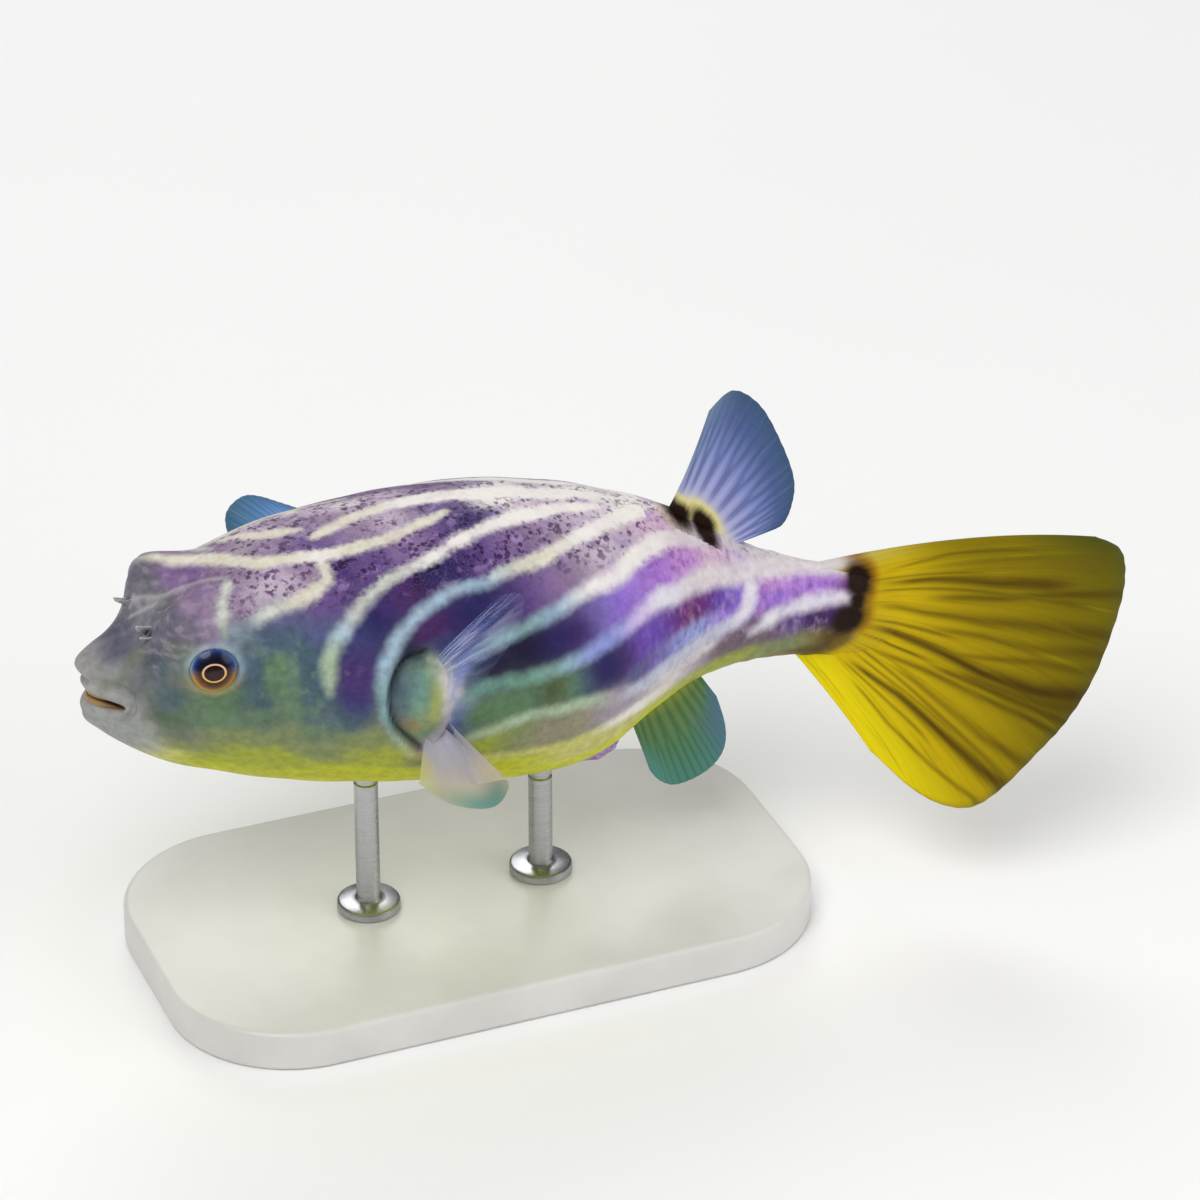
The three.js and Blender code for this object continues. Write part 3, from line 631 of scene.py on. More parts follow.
STROKE_SPACING = 1.6
STROKE_SOFTNESS = 4.5  # in square millimetres
STROKE_SHARPNESS = 2.3  # how quickly one stroke gives way to the next
STRIPE_SPACING = 0.9
STRIPE_REACH = 12  # how far from a stripe its points are still measured
FAR_OUTSIDE = -30.0
AT_ONCE = 1000  # points worked out together, which keeps the tables small


def both_sides(curves, behind=1.5):
    """The curves as they are, and again on the right, a little farther back."""
    return list(curves) + [[(x + behind, -turn, *rest) for x, turn, *rest in curve] for curve in curves]


def brushed(curves, where=on_skin):
    """Points along the curves, and each one's colour."""
    strokes = []
    for stroke in curves:
        rows = [(x, turn, *paint(*COLOURS[name])) for x, turn, *_, name in stroke]
        strokes.append(trace(rows, STROKE_SPACING, where))
    points, colours = (np.concatenate(part) for part in zip(*strokes))
    return points, np.clip(colours, 0.002, 0.95)


def blended(points, at, colours):
    """For each point the colour of the nearest strokes, run together."""
    result = np.empty_like(points)
    for start in range(0, len(points), AT_ONCE):
        part = slice(start, start + AT_ONCE)
        weight = 1 / (distances(points[part], at) + STROKE_SOFTNESS) ** STROKE_SHARPNESS
        result[part] = weight @ colours / weight.sum(1)[:, None]
    return result


def inside_stripes(points, curves):
    """How far each point is inside the nearest stripe, in millimetres; below 0 is outside."""
    inside = np.full(len(points), FAR_OUTSIDE)
    for stripe in curves:
        at, half_width = trace([(x, turn, half) for x, turn, half, _ in stripe], STRIPE_SPACING)
        near = near_box(points, at, STRIPE_REACH)
        if near.any():
            reach = half_width[:, 0][None, :] - np.sqrt(distances(points[near], at))
            inside[near] = np.maximum(inside[near], reach.max(1))
    return inside


def patch_depth(points):
    """How far each point is inside the nearest dark patch, in millimetres; below 0 is outside."""
    depth = np.full(len(points), FAR_OUTSIDE)
    x, y, z = points.T
    for middle_x, middle_z, long, high, slope in PATCHES:
        along = x - middle_x
        up = z - middle_z - slope * along
        share = (np.abs(along / long) ** 2.5 + np.abs(up / high) ** 2.5) ** 0.4
        inside = (1 - share) * min(long, high)
        depth = np.maximum(depth, np.where(np.abs(y) < PATCH_REACH, inside, FAR_OUTSIDE))
    return depth


# ---------------------------------------------------------------- the eyes' places

EYE_OUT = normalised(GAZE)
EYE_AHEAD = normalised(EYE_OUT * EYE_OUT[0] - (1, 0, 0))
EYE_ABOVE = np.cross(EYE_OUT, EYE_AHEAD)
RIM_HEIGHT = 5.55
RIM_REFINED = 9.5
RIM_REACH = 2.2  # in shares of the opening

# The folds of the lids: how far each stands out, its middle and its width, in shares of the opening.
LID_FOLDS = [(0.35, 1.10, 0.09), (-0.40, 1.42, 0.12), (0.18, 1.62, 0.08)]


def seen_by_eye(points):
    """How far points are ahead of, above and out along the gaze from the eye's middle."""
    away = mirrored(points) - EYE
    return away @ EYE_AHEAD, away @ EYE_ABOVE, away @ EYE_OUT


def eye_share(ahead, above):
    """1 on the edge of the eye's opening, and less inside it."""
    wide, high = EYE_OPENING
    return np.sqrt((ahead / wide) ** 2 + (above / high) ** 2)


def eyeball_height(ahead, above):
    """How far out along the gaze the eyeball's surface lies."""
    square = (ahead**2 + above**2) / EYEBALL_ROUND**2
    return EYEBALL_FORWARD + EYEBALL_DEEP * np.sqrt(np.clip(1 - square, 0, 1))


def set_round_eyes(points):
    """Brings the skin up to a rim round each eyeball, and in under it."""
    ahead, above, out = seen_by_eye(points)
    share = eye_share(ahead, above)
    rim = RIM_HEIGHT + 0.028 * above - 0.02 * ahead - 0.35 * (share - 1)
    level = blend(out, rim, 0.85 * smooth(share, 1.75, 1.0))
    level += sum(standing * bell(share, middle, width) for standing, middle, width in LID_FOLDS)
    under = eyeball_height(ahead, above) - 0.25 - 2.2 * smooth(share, 0.95, 0.45)
    level = blend(under, level, smooth(share, 0.94, 1.03))
    moved = np.where((out > 0) & (share < RIM_REACH), level - out, 0)
    sides = np.where(points[:, 1:2] < 0, (1, -1, 1), 1)
    return points + EYE_OUT * sides * moved[:, None]


# ---------------------------------------------------------------- the skin

SKIN_ALONG = 330
SKIN_AROUND = 232
HEAD_SPACING = 0.42
TRUNK_SPACING = 1.0
TAIL_ROOT = 218  # from here back the skin takes on the tail fin's colours


def skin_places():
    """Places of the rings of vertices, closer together on the head."""
    place = np.linspace(0, LAST_PLACE, 6000)
    flank = plain_skin(place, np.full(len(place), 0.2))
    steps = np.linalg.norm(np.diff(flank, axis=0), axis=1)
    x = row_at(SECTIONS, place[1:])[:, 0]
    spacing = blend(HEAD_SPACING, TRUNK_SPACING, smooth(x, 38, 70)) * (1 + 0.6 * smooth(x, 226, 232))
    share = np.concatenate([[0], np.cumsum(steps / spacing)])
    return np.interp(np.linspace(0, 1, SKIN_ALONG + 1), share / share[-1], place)


def on_sheet(items, field, places):
    """The place and turn of every vertex or face of the flat sheet."""
    along, up, _ = (read(items, field) + 0.5).T
    return np.interp(along * SKIN_ALONG, np.arange(SKIN_ALONG + 1), places), 0.5 - up


def refine_round_eyes(sheet, places):
    """Splits the faces of the flat sheet that will lie round the eyes."""
    select_none(sheet, "FACE")
    place, turn = on_sheet(sheet.data.polygons, "center", places)
    points, _ = skin(np.clip(place, POLE_GAP, LAST_PLACE - POLE_GAP), turn)
    ahead, above, out = seen_by_eye(points)
    near = (ahead**2 + above**2 < RIM_REFINED**2) & (out > 0)
    sheet.data.polygons.foreach_set("select", near)
    edit(sheet, (bpy.ops.mesh.subdivide, {"number_cuts": 1}))


def crown(x, y):
    """The skin on the top of the head, at a distance from the lips and from the middle plane."""
    place, turn = np.meshgrid(np.linspace(MOUTH_SECTIONS, MOUTH_SECTIONS + 8, 500), np.linspace(0, 0.24, 240))
    points = mirrored(skin(place.ravel(), turn.ravel())[0])
    return points[np.argmin((points[:, 0] - x) ** 2 + (points[:, 1] - y) ** 2)]


NOSTRIL_AT = crown(*NOSTRIL)

LIP_CREASE = [
    (4.53, -0.2), (5.27, 4.4), (5.82, 9.5), (6.08, 12.2), (6.24, 15), (6.38, 17.8), (6.35, 20.6), (5.9, 23.4),
    (5.7, 27.7), (5.8, 31.5), (5.9, 36),
]
GILL_SLIT = [
    (86, 19.6), (83.9, 20), (80.9, 20.3), (78, 21.9), (76.6, 24.1), (77.4, 26), (79.6, 27.8), (83.2, 29.4),
    (86.9, 30.9),
]
# Furrows and ridges of the skin on both sides: line, width and how far it stands out.
FURROWS = [
    (GILL_SLIT, 1.0, -2.3),
    ([(80.5, 19.0), (77.2, 20.0), (75, 23.5), (76.2, 26.4), (79.2, 29.2), (84.5, 31.8)], 1.3, 0.7),
    ([(83.9, 20.8), (87.3, 20.6), (91.1, 22.2), (92.1, 24.5), (91.9, 27), (89.7, 29.4), (87.3, 31)], 1, 1.2),
    ([(82.2, 22.2), (81.2, 24.5), (82.0, 27.2)], 0.7, 0.5),
    ([(82.7, 26.9), (83.5, 27.5)], 0.8, -0.9),
    ([(86.5, 32.2), (81, 33), (74, 33.5)], 1.6, 0.35),
    ([(147, 12.4), (152.8, 15.5), (162, 18)], 0.5, -0.25),
    ([(118, 10.2), (127, 11.4), (133, 12.2)], 0.5, -0.22),
    ([(186, 10), (191, 15), (190, 20)], 1.2, -0.35),
    ([(196, 9), (200, 15), (198, 22)], 1.2, -0.35),
    ([(207, 9), (210, 15), (208, 22)], 1.1, -0.3),
    ([(24.4, 7), (23.2, 11), (22.6, 15), (24, 19)], 1.2, -0.35),
    ([(30, 7.2), (27.6, 9.6), (27, 12)], 0.9, -0.3),
    ([(38.4, 9.6), (40, 13), (40.8, 17)], 1.0, -0.3),
]


def relief(points):
    """How far the furrows, ridges and small folds stand out."""
    x, y, z = points.T
    both = mirrored(points)
    height = 0.55 * nearness(points, BROW_LINES[0][0], 0.9)
    corner = bell(x, 11, 5) * smooth(z, -16, -7)
    for side in (1, -1):
        height -= (0.35 + 0.75 * corner) * nearness(points, LIP_CREASE, 0.9, side, on_ring)
        for line, width, standing in FURROWS:
            height += standing * nearness(points, line, width, side)
    disc = ((x - 86.6) / 5.4) ** 2 + ((z - 1.5) / 10.5) ** 2
    height += 0.8 * smooth(disc, 1.25, 0.7) * (both[:, 1] > 25)
    height += 0.8 * mound(both, NOSTRIL_AT, 3.0) - 1.6 * mound(both, NOSTRIL_AT, 1.2)
    rear = band(x, 165, 200, 222, 227)
    height += 0.16 * rear * np.sin(x * 0.9 + 1.3 * np.sin(z * 0.35)) * np.sin(z * 0.55 + 0.7 * y)
    height += 0.10 * smooth(x, 20, 60) * np.sin(x * 0.31 + 2 * np.sin(z * 0.11)) * np.sin(z * 0.27 + x * 0.05)
    return height


def ridge_highlights(points):
    """Painted highlights in thin pale lines: along the folds over the brows and the rims of the breast fins'
    discs.
    """
    amounts = [nearness(points, line, width) for line, width in BROW_LINES]
    amounts += [nearness(points, DISC_RIM, 0.55, side) for side in (1, -1)]
    return np.max(amounts, axis=0)


def grooves(points):
    """Painted shade in the depth of the gill slits and the nostrils."""
    amounts = [nearness(points, GILL_SLIT, 1.1, side) for side in (1, -1)]
    return np.max([*amounts, mound(mirrored(points), NOSTRIL_AT, 1.3)], axis=0)


def paint_eye_rim(ground, points):
    """A pale ring round each eye, bluish white above as a painted highlight of the wet lid's edge and
    yellowish green below, and the crevice inside it, golden brown below and dark blue above as painted shade
    under the upper lid.
    """
    ahead, above, out = seen_by_eye(points)
    share = eye_share(ahead, above)
    lift, back = above / 6, -ahead / 6
    upper, lower = smooth(lift, -0.2, 0.8)[:, None], smooth(lift, 0.1, -0.9)[:, None]
    sides = blend(paint(138, 160, 144), paint(146, 164, 190), smooth(back, -0.5, 0.5)[:, None])
    # bluish white above: a painted highlight of the wet lid's edge
    colour = paint(176, 198, 212) * upper + paint(172, 160, 98) * lower
    colour += sides * np.clip(1 - upper - lower, 0, 1)
    ring = (0.46 - 0.16 * smooth(lift, 0.3, 1)) * bell(share, 1.12, 0.17) + 0.06 * bell(share, 1.4, 0.25)
    ground = blend(ground, colour, (np.clip(ring, 0, 1) * (out > 0))[:, None])
    # the crevice: golden brown below, and dark blue above as painted shade under the upper lid
    crevice = blend(paint(140, 116, 70), paint(44, 58, 84), smooth(lift, -0.6, 0.4)[:, None])
    return np.where(((share < 1.0) & (out > 0))[:, None], crevice, ground)


def paint_mouth(ground, place, turn):
    """The lining of the mouth, brown behind the pale lips and reddish at its corners."""
    corner = smooth(np.abs(np.abs(turn) - 0.25), 0.09, 0.02)[:, None]
    lining = blend(paint(122, 98, 60), paint(120, 66, 54), corner)
    return blend(ground, lining, smooth(place, 3.35, 2.7)[:, None])


def skin_markings(points, place, turn):
    """The colours of the ground and of the stripes, and how far each point is inside a stripe."""
    strokes = brushed(both_sides(PAIRED_STROKES) + SINGLE_STROKES)
    lips = brushed(both_sides(LIP_STROKES, 0), on_ring)
    ground = blended(points, *(np.concatenate(pair) for pair in zip(strokes, lips)))
    ground = paint_mouth(paint_eye_rim(ground, points), place, turn)
    stripes = both_sides(PAIRED_STRIPES) + SINGLE_STRIPES
    inside = inside_stripes(points, stripes)
    ahead, above, out = seen_by_eye(points)
    inside -= 8 * smooth(eye_share(ahead, above), 1.5, 1.0) * (out > 0)
    inside = np.where(place < MOUTH_SECTIONS, FAR_OUTSIDE, inside)
    return {"ground": ground, "pale": blended(points, *brushed(stripes)), "stripe": inside}


def skin_regions(points, place, turn):
    """Where the skin is speckled, mottled, leathery, wrinkled, smooth or part of the tail fin."""
    x = row_at(SECTIONS, place)[:, 0]
    round_by = 100 * np.abs(turn)
    across, reach = on_tail_fin(points)
    return {
        "patch": patch_depth(points),
        "line": ridge_highlights(points),
        "groove_shade": grooves(points),
        "speckle": band(x, 28, 46, 158, 178) * smooth(round_by, 15, 9),
        "mottle": band(x, 30, 44, 60, 72) * band(round_by, 13, 17, 26, 30),
        "leather": band(x, 145, 175, 215, 224) * smooth(round_by, 33, 27),
        "brow": band(x, 11, 17, 40, 54) * smooth(round_by, 19, 13),
        "smooth_lip": smooth(place, 7.5, 5.2),
        "across": across,
        "reach": reach,
        "streak": streaks(across, reach, TAIL_FIN.streaks),
        "fin_root": smooth(points[:, 0] + 1.2 * np.clip(-points[:, 2] - 6, 0, 6), 225, 230),
    }


def make_skin():
    sheet = begin_sheet(SKIN_ALONG, SKIN_AROUND)
    places = skin_places()
    refine_round_eyes(sheet, places)
    place, turn = on_sheet(sheet.data.vertices, "co", places)
    plain, outward = skin(place, turn)
    shaped = plain + outward * (relief(plain) * smooth(place, 3.4, 4.4))[:, None]
    values = {**skin_markings(plain, place, turn), **skin_regions(plain, place, turn)}
    return shape(sheet, posed(set_round_eyes(shaped)), **values)


# ---------------------------------------------------------------- fins

SIDE_MARGIN = 0.012
TIP_MARGIN = 0.014
FIN_STEP = 0.01  # on either side of a point, for the way out of the fin there


def fin_plan(guides, **settings):
    """What a fin is made from. Its guide rays are (root x, y, z, tip x, y, z), from one edge to the other."""
    usual = {"thin": 0.5, "bow": 0, "ragged": 0.003, "ripple": 0, "folds": 3, "streaks": ()}
    return SimpleNamespace(guides=np.array(guides, float), **{**usual, **settings})


def on_middle_plane(*guides):
    """Guide rays on the fish's middle plane, from (root x, root z, tip x, tip z)."""
    return [(root_x, 0, root_z, tip_x, 0, tip_z) for root_x, root_z, tip_x, tip_z in guides]


BACK_FIN = fin_plan(
    on_middle_plane(
        (169, 28, 178, 60.5), (171, 26.5, 184, 66.2), (174, 24.5, 192, 61.5),
        (177.5, 22, 199, 50.5), (180.5, 19.5, 203.9, 39.5), (183, 18.5, 204.3, 31.5),
        (185, 19, 202.3, 25.4), (186.5, 20.8, 197.5, 23.2),
    ),
    columns=150, steps=60, rays=11, thick=4.6, power=2.2, ridge=0.26, bow=1.2,
)
VENT_FIN = fin_plan(
    on_middle_plane(
        (160.5, -26, 171.8, -50.8), (162.5, -24.5, 175, -54.1), (165, -22.5, 180, -55.6),
        (168, -20.5, 186.5, -53), (171, -19, 191.5, -48.6), (174, -17.5, 193.8, -43),
        (177, -16.5, 193, -36), (180, -16, 189.5, -27.5),
    ),
    columns=130, steps=50, rays=10, thick=3.8, power=1.8, ridge=0.14, bow=-1.2,
)
TAIL_FIN = fin_plan(
    on_middle_plane(
        (214, 13.8, 283.5, 37.6), (218.5, 10.8, 290.2, 36.8), (220.5, 8, 294, 29.5),
        (221.5, 5.5, 296, 17.5), (222, 2.5, 296.7, 0), (222, 0, 294.5, -14),
        (221.6, -2.6, 290.4, -24.8), (220.8, -5, 283, -39.5), (219.5, -7.5, 275, -48.3),
        (217.5, -9.5, 264, -50.6), (213.5, -10.5, 252, -47.8), (207, -9.5, 238, -40),
    ),
    columns=240, steps=90, rays=13, thick=5.2, thin=0.6, power=2.0, ridge=0.3, ragged=0.002,
    streaks=[
        ([(0.122, 0.205), (0.09, 0.435), (0.105, 0.7)], 0.010, 0.5),
        ([(0.152, 0.315), (0.145, 0.57), (0.135, 0.765)], 0.009, 0.3),
        ([(0.21, 0.18), (0.21, 0.335), (0.228, 0.56), (0.223, 0.75), (0.22, 0.81)], 0.018, 0.85),
        ([(0.288, 0.335), (0.275, 0.57), (0.242, 0.815), (0.22, 0.99)], 0.011, 0.7),
        ([(0.325, 0.135), (0.338, 0.315), (0.333, 0.52), (0.318, 0.715), (0.3, 0.99)], 0.013, 0.7),
        ([(0.39, 0.355), (0.37, 0.545), (0.36, 0.74), (0.328, 0.975)], 0.011, 0.6),
        ([(0.46, 0.125), (0.465, 0.355), (0.47, 0.605), (0.445, 0.815), (0.403, 0.99)], 0.022, 1.0),
        ([(0.52, 0.5), (0.49, 0.7), (0.46, 0.85), (0.43, 0.99)], 0.024, 0.7),
        ([(0.497, 0.255), (0.448, 0.495), (0.385, 0.76), (0.357, 0.99)], 0.009, 0.55),
        ([(0.537, 0.42), (0.512, 0.64), (0.482, 0.855), (0.463, 0.995)], 0.012, 0.8),
        ([(0.593, 0.185), (0.562, 0.405), (0.54, 0.665), (0.495, 1.0)], 0.011, 0.7),
        ([(0.605, 0.3), (0.61, 0.515), (0.605, 0.775), (0.583, 0.985)], 0.010, 0.6),
        ([(0.738, 0.14), (0.688, 0.395), (0.672, 0.645), (0.652, 0.875), (0.638, 0.975)], 0.019, 0.95),
        ([(0.82, 0.245), (0.815, 0.52), (0.77, 0.765), (0.71, 0.965)], 0.011, 0.6),
        ([(0.25, 0.1), (0.25, 0.3), (0.262, 0.6), (0.26, 0.9)], 0.008, 0.6),
        ([(0.41, 0.1), (0.405, 0.3), (0.40, 0.45)], 0.009, 0.7),
        ([(0.53, 0.08), (0.535, 0.24), (0.52, 0.4)], 0.009, 0.7),
        ([(0.63, 0.1), (0.635, 0.3), (0.64, 0.6), (0.625, 0.95)], 0.008, 0.6),
        ([(0.68, 0.12), (0.66, 0.4), (0.645, 0.7)], 0.007, 0.55),
        ([(0.775, 0.1), (0.75, 0.35), (0.725, 0.6)], 0.009, 0.6),
        ([(0.17, 0.08), (0.18, 0.3), (0.19, 0.5)], 0.008, 0.55),
    ],
)
LEFT_FIN = fin_plan(
    [
        (88, -35, 12, 102, -46, 36), (89.5, -36, 10.5, 106, -51, 38), (91, -36.5, 7, 102, -58, 30),
        (92, -37, 3.5, 89, -63, 16), (92, -36.5, 0, 84, -63, 2), (91.5, -36, -3, 92, -58, -13),
        (91, -35.5, -5.5, 107, -50, -19), (90.5, -35, -7, 105.5, -46, -29.5), (89.5, -34.5, -8, 93, -46, -27),
        (88.5, -34, -8.5, 84, -43, -21),
    ],
    columns=150, steps=60, rays=13, thick=2.4, thin=0.45, power=1.6, ridge=0.16, ripple=0.3, ragged=0,
)
RIGHT_FIN = fin_plan(
    [
        (88, 35, 12, 92, 52, 4), (89, 36, 10, 86, 58, 8.5), (90, 36.5, 7, 80, 61.5, 11.5),
        (90.5, 37, 4, 73, 61, 15.2), (90.5, 37, 1, 66, 59, 16.5), (90, 36.5, -1.5, 61, 57, 12.8),
        (89.5, 36, -4, 62, 55, 5), (88.5, 35, -6, 68, 53, -5), (87.5, 34, -8, 78, 49, -14),
    ],
    columns=140, steps=56, rays=13, thick=2.4, thin=0.45, power=1.6, ridge=0.3, ripple=0.5, folds=2.5,
)


def fin_point(fin, across, reach):
    """Points of a fin's middle sheet, across its rays and out along them."""
    row = row_at(fin.guides, across * (len(fin.guides) - 1))
    return row[:, :3] + (row[:, 3:] - row[:, :3]) * reach[:, None]


def fin_normal(fin, across, reach):
    """The way out of a fin's sheet, on the side that is face 1."""
    over = fin_point(fin, np.minimum(across + FIN_STEP, 1), reach)
    over -= fin_point(fin, np.maximum(across - FIN_STEP, 0), reach)
    outward = fin_point(fin, across, reach + FIN_STEP) - fin_point(fin, across, reach - FIN_STEP)
    return normalised(np.cross(over, outward))


def margins(count, margin):
    """Shares from 0 to 1, closer together at both ends."""
    ends = np.array([0, 0.12, 0.45]) * margin
    return np.concatenate([ends, np.linspace(margin, 1 - margin, count - 3), 1 - ends[::-1]])


def rounding(across, reach, side_margin, tip_margin):
    """1 on the faces of a leaf, falling to 0 round its sides and tip."""
    edge = np.minimum(np.minimum(across, 1 - across) / side_margin, (1 - reach) / tip_margin)
    return np.sqrt(1 - (1 - np.clip(edge, 0, 1)) ** 2)


def crest(turns):
    return 0.5 + 0.5 * np.cos(2 * np.pi * turns)


def make_fin(fin):
    """A fan of rays with skin between them, as a closed leaf of two faces that meet at the margin."""
    across_at, reach_at = margins(fin.columns, SIDE_MARGIN), margins(fin.steps, TIP_MARGIN)
    sheet, column, step, face = begin_folded_sheet(len(across_at) - 1, len(reach_at) - 1)
    across, reach = across_at[column], reach_at[step]

    ray, split = crest(fin.rays * across), crest(2 * fin.rays * across)
    forked = smooth(reach, 0.45, 0.75)
    ragged = reach * (1 - fin.ragged * smooth(reach, 0.7, 1.0) * (1 - split))
    closed = np.where(reach <= 0, 0, rounding(across, reach, SIDE_MARGIN, TIP_MARGIN))
    body = blend(fin.thin, fin.thick, (1 - reach) ** fin.power)
    full = (body + fin.ridge * blend(ray**2, split**2, forked) * (1 - 0.5 * reach)) * closed
    wave = fin.ripple * reach**2 * np.sin(2 * np.pi * (fin.folds * across + 0.4 * reach))
    wave += fin.bow * np.sin(np.pi * reach)
    points = fin_point(fin, across, ragged)
    points += fin_normal(fin, across, reach) * (face * full / 2 + wave)[:, None]
    return shape(
        sheet, posed(points), across=across, reach=reach, ray=blend(ray, split, forked),
        streak=streaks(across, reach, fin.streaks), patch=patch_depth(points),
    )


def streaks(across, reach, lines):
    """Dark streaks along the rays: points (across, reach) from root to tip, then width and depth."""
    dark = np.zeros(len(across))
    for points, width, depth in lines:
        line = np.array(points)
        start, end = line[0, 1], line[-1, 1]
        along = smooth(reach, start - 0.06, start + 0.10)
        if end < 0.95:
            along *= smooth(reach, end + 0.08, end - 0.08)
        middle = np.interp(reach, line[:, 1], line[:, 0])
        dark = np.maximum(dark, depth * along * bell(across, middle, 1.05 * width))
    return dark


def on_tail_fin(points):
    """Where across and out along the tail fin each point near its root lies."""
    across, reach = (grid.ravel() for grid in np.meshgrid(np.linspace(0, 1, 420), np.linspace(-0.1, 0.4, 41)))
    sheet = fin_point(TAIL_FIN, across, reach)
    shares = np.zeros((2, len(points)))
    near = np.flatnonzero(points[:, 0] > TAIL_ROOT)
    for start in range(0, len(near), AT_ONCE):
        part = near[start:start + AT_ONCE]
        nearest = distances(points[part] * (1, 0, 1), sheet).argmin(1)
        shares[:, part] = across[nearest], reach[nearest]
    return shares


# ---------------------------------------------------------------- eyes, beak, nostrils, vent


def make_eye(side):
    ball = begin_ball(96, 64)
    unit = read(ball.data.vertices, "co")
    ahead, above = unit[:, 0] * EYEBALL_ROUND, unit[:, 1] * EYEBALL_ROUND
    out = EYEBALL_FORWARD + unit[:, 2] * EYEBALL_DEEP
    away = np.outer(ahead, EYE_AHEAD) + np.outer(above, EYE_ABOVE) + np.outer(out, EYE_OUT)
    front = unit[:, 2] > -0.2
    pupil = np.hypot((ahead - 0.1) / 1.08, (above + 0.4) * 1.16)
    return shape(
        ball, posed((EYE + away) * (1, side, 1)),
        pupil=np.where(front, pupil, 9), iris=np.where(front, np.hypot(ahead, above), 9),
        lift=above / 6, spoke=np.arctan2(above, ahead),
    )


def make_beak(up):
    """A beak plate that curves along the mouth, with a notch between its two teeth."""
    plate = begin_sheet(72, 24, size=2)
    share, round_plate, _ = read(plate.data.vertices, "co").T
    round_plate = round_plate * np.pi
    y = share * 8.4
    taper = np.sqrt(np.clip(1 - share**2, 0, 1)) ** 0.25 * smooth(np.abs(share), 1, 0.97)
    edge = 0.2 + 0.0035 * y**2 + 0.25 * np.exp(-(y**2) * 1.5)
    height = edge + 1.4 - 1.4 * squared(np.cos(round_plate), 0.5) * taper
    back = np.sin(round_plate)
    deep = 0.07 * np.sin(y * 5) * (back > 0) - 1.25 * squared(back, 0.6) * taper
    points = np.stack([4.6 + 0.088 * y**2 + deep, y, MOUTH_Z + up * height], 1)
    return shape(plate, posed(points), height=height, along=y)


def make_nostril_flap(side):
    """A thin curled flap round the back of the nostril, with two tips that lean forward over it."""
    columns, steps = 60, 30
    sheet, column, step, face = begin_folded_sheet(columns, steps)
    share, rise = column / columns, step / steps
    around = (share - 0.5) * 2
    angle = np.radians(148) * around
    height = (2.0 + 2.1 * bell(np.abs(around), 0.80, 0.20)) * rise
    radius = 1.45 + 0.55 * rise**2 + face * (0.42 - 0.12 * rise) * rounding(share, rise, 0.08, 0.12)
    lean = np.clip(height - 1.6, 0, None)
    points = np.stack([
        radius * np.cos(angle) - 0.55 * lean,
        radius * np.sin(angle) * (1 + 0.06 * lean),
        height - 1.0,
    ], 1)
    points = points @ turned("y", math.radians(-30)).T @ turned("x", math.radians(-20 * side)).T
    # the inner face of the curl is darkened as painted shade, most near its root
    inner = np.where(face < 0, 1 - 0.8 * rise, 0)
    return shape(sheet, posed(points + NOSTRIL_AT * (1, side, 1)), tip=height / 5.5, inner=inner)


def make_vent():
    """The vent: a small wrinkled fold of skin ahead of the fin under the tail."""
    fold = begin_ball(72, 48)
    unit = read(fold.data.vertices, "co")
    x, _, z = unit.T
    wrinkle = 1 + 0.05 * np.sin(9 * x + 3 * z) + 0.04 * np.sin(14 * z + 5 * x)
    points = unit * (7.5, 3.2, 5) * wrinkle[:, None]
    points = points @ turned("y", math.radians(-32)).T + (155, 0, -40.6)
    return shape(fold, posed(points), tip=(1 - z) / 2)


# ---------------------------------------------------------------- the stand

SHARP = math.radians(50)
SUNK = 1.2  # how far the rods run up into the belly, past the solids'


def make_base():
    size = (BASE.length * MM, BASE.width * MM, BASE.height * MM)
    slab = begin(bpy.ops.mesh.primitive_cube_add, size=1, location=(0, 0, size[2] / 2))
    slab.scale = size
    bpy.ops.object.transform_apply(location=True, scale=True)
    round_edges(slab, BASE.corner * MM, 24, upright=True)
    round_edges(slab, BASE.edge * MM, 5, upright=False)
    slab.data.shade_smooth()
    bpy.ops.object.shade_smooth_by_angle(angle=math.radians(40))
    return slab


def round_edges(piece, width, segments, upright):
    """Rounds the sharp edges that stand upright, or the sharp ones that lie level."""
    select_none(piece, "EDGE")
    mesh = piece.data
    normals = {}
    for polygon in mesh.polygons:
        for key in polygon.edge_keys:
            normals.setdefault(key, []).append(polygon.normal.copy())
    for line in mesh.edges:
        a, b = (mesh.vertices[k].co for k in line.vertices)
        first, second = normals[tuple(sorted(line.vertices))]
        line.select = first.angle(second) > SHARP and (abs(a.z - b.z) > MERGE_DISTANCE) == upright
    edit(piece, (bpy.ops.mesh.bevel, {"offset": width, "segments": segments, "affect": "EDGES"}))


def make_rod(name):
    """A rod with a turned foot and a groove near its top, up into the belly."""
    x = ROD_PLACES[name]
    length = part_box(f"stand_rod_{name}")[1][2] / MM + SUNK - BASE.height
    thin, foot, flange = ROD.radius, ROD.foot, ROD.foot_height
    profile = np.array([
        (0, 0), (foot - 0.5, 0), (foot, 0.5), (foot, flange - 0.9), (foot - 0.25, flange - 0.35),
        (foot - 0.9, flange), (thin + 1.6, flange), (thin + 0.5, flange + 0.35), (thin, flange + 1.5),
        (thin, length - 9), (thin - 0.5, length - 8.6), (thin - 0.5, length - 7.8), (thin, length - 7.4),
        (thin, length), (0, length),
    ])
    sheet = begin_sheet(64, len(profile) - 1)
    around, up, _ = (read(sheet.data.vertices, "co") + 0.5).T
    radius, height = profile[np.rint(up * (len(profile) - 1)).astype(int)].T
    angle = around * 2 * np.pi
    points = np.stack([x + radius * np.cos(angle), radius * np.sin(angle), BASE.height + 0.02 + height], 1)
    shape(sheet, points * MM)
    bpy.ops.object.shade_smooth_by_angle(angle=math.radians(35))
    return sheet


# ---------------------------------------------------------------- what finishes are worked out with


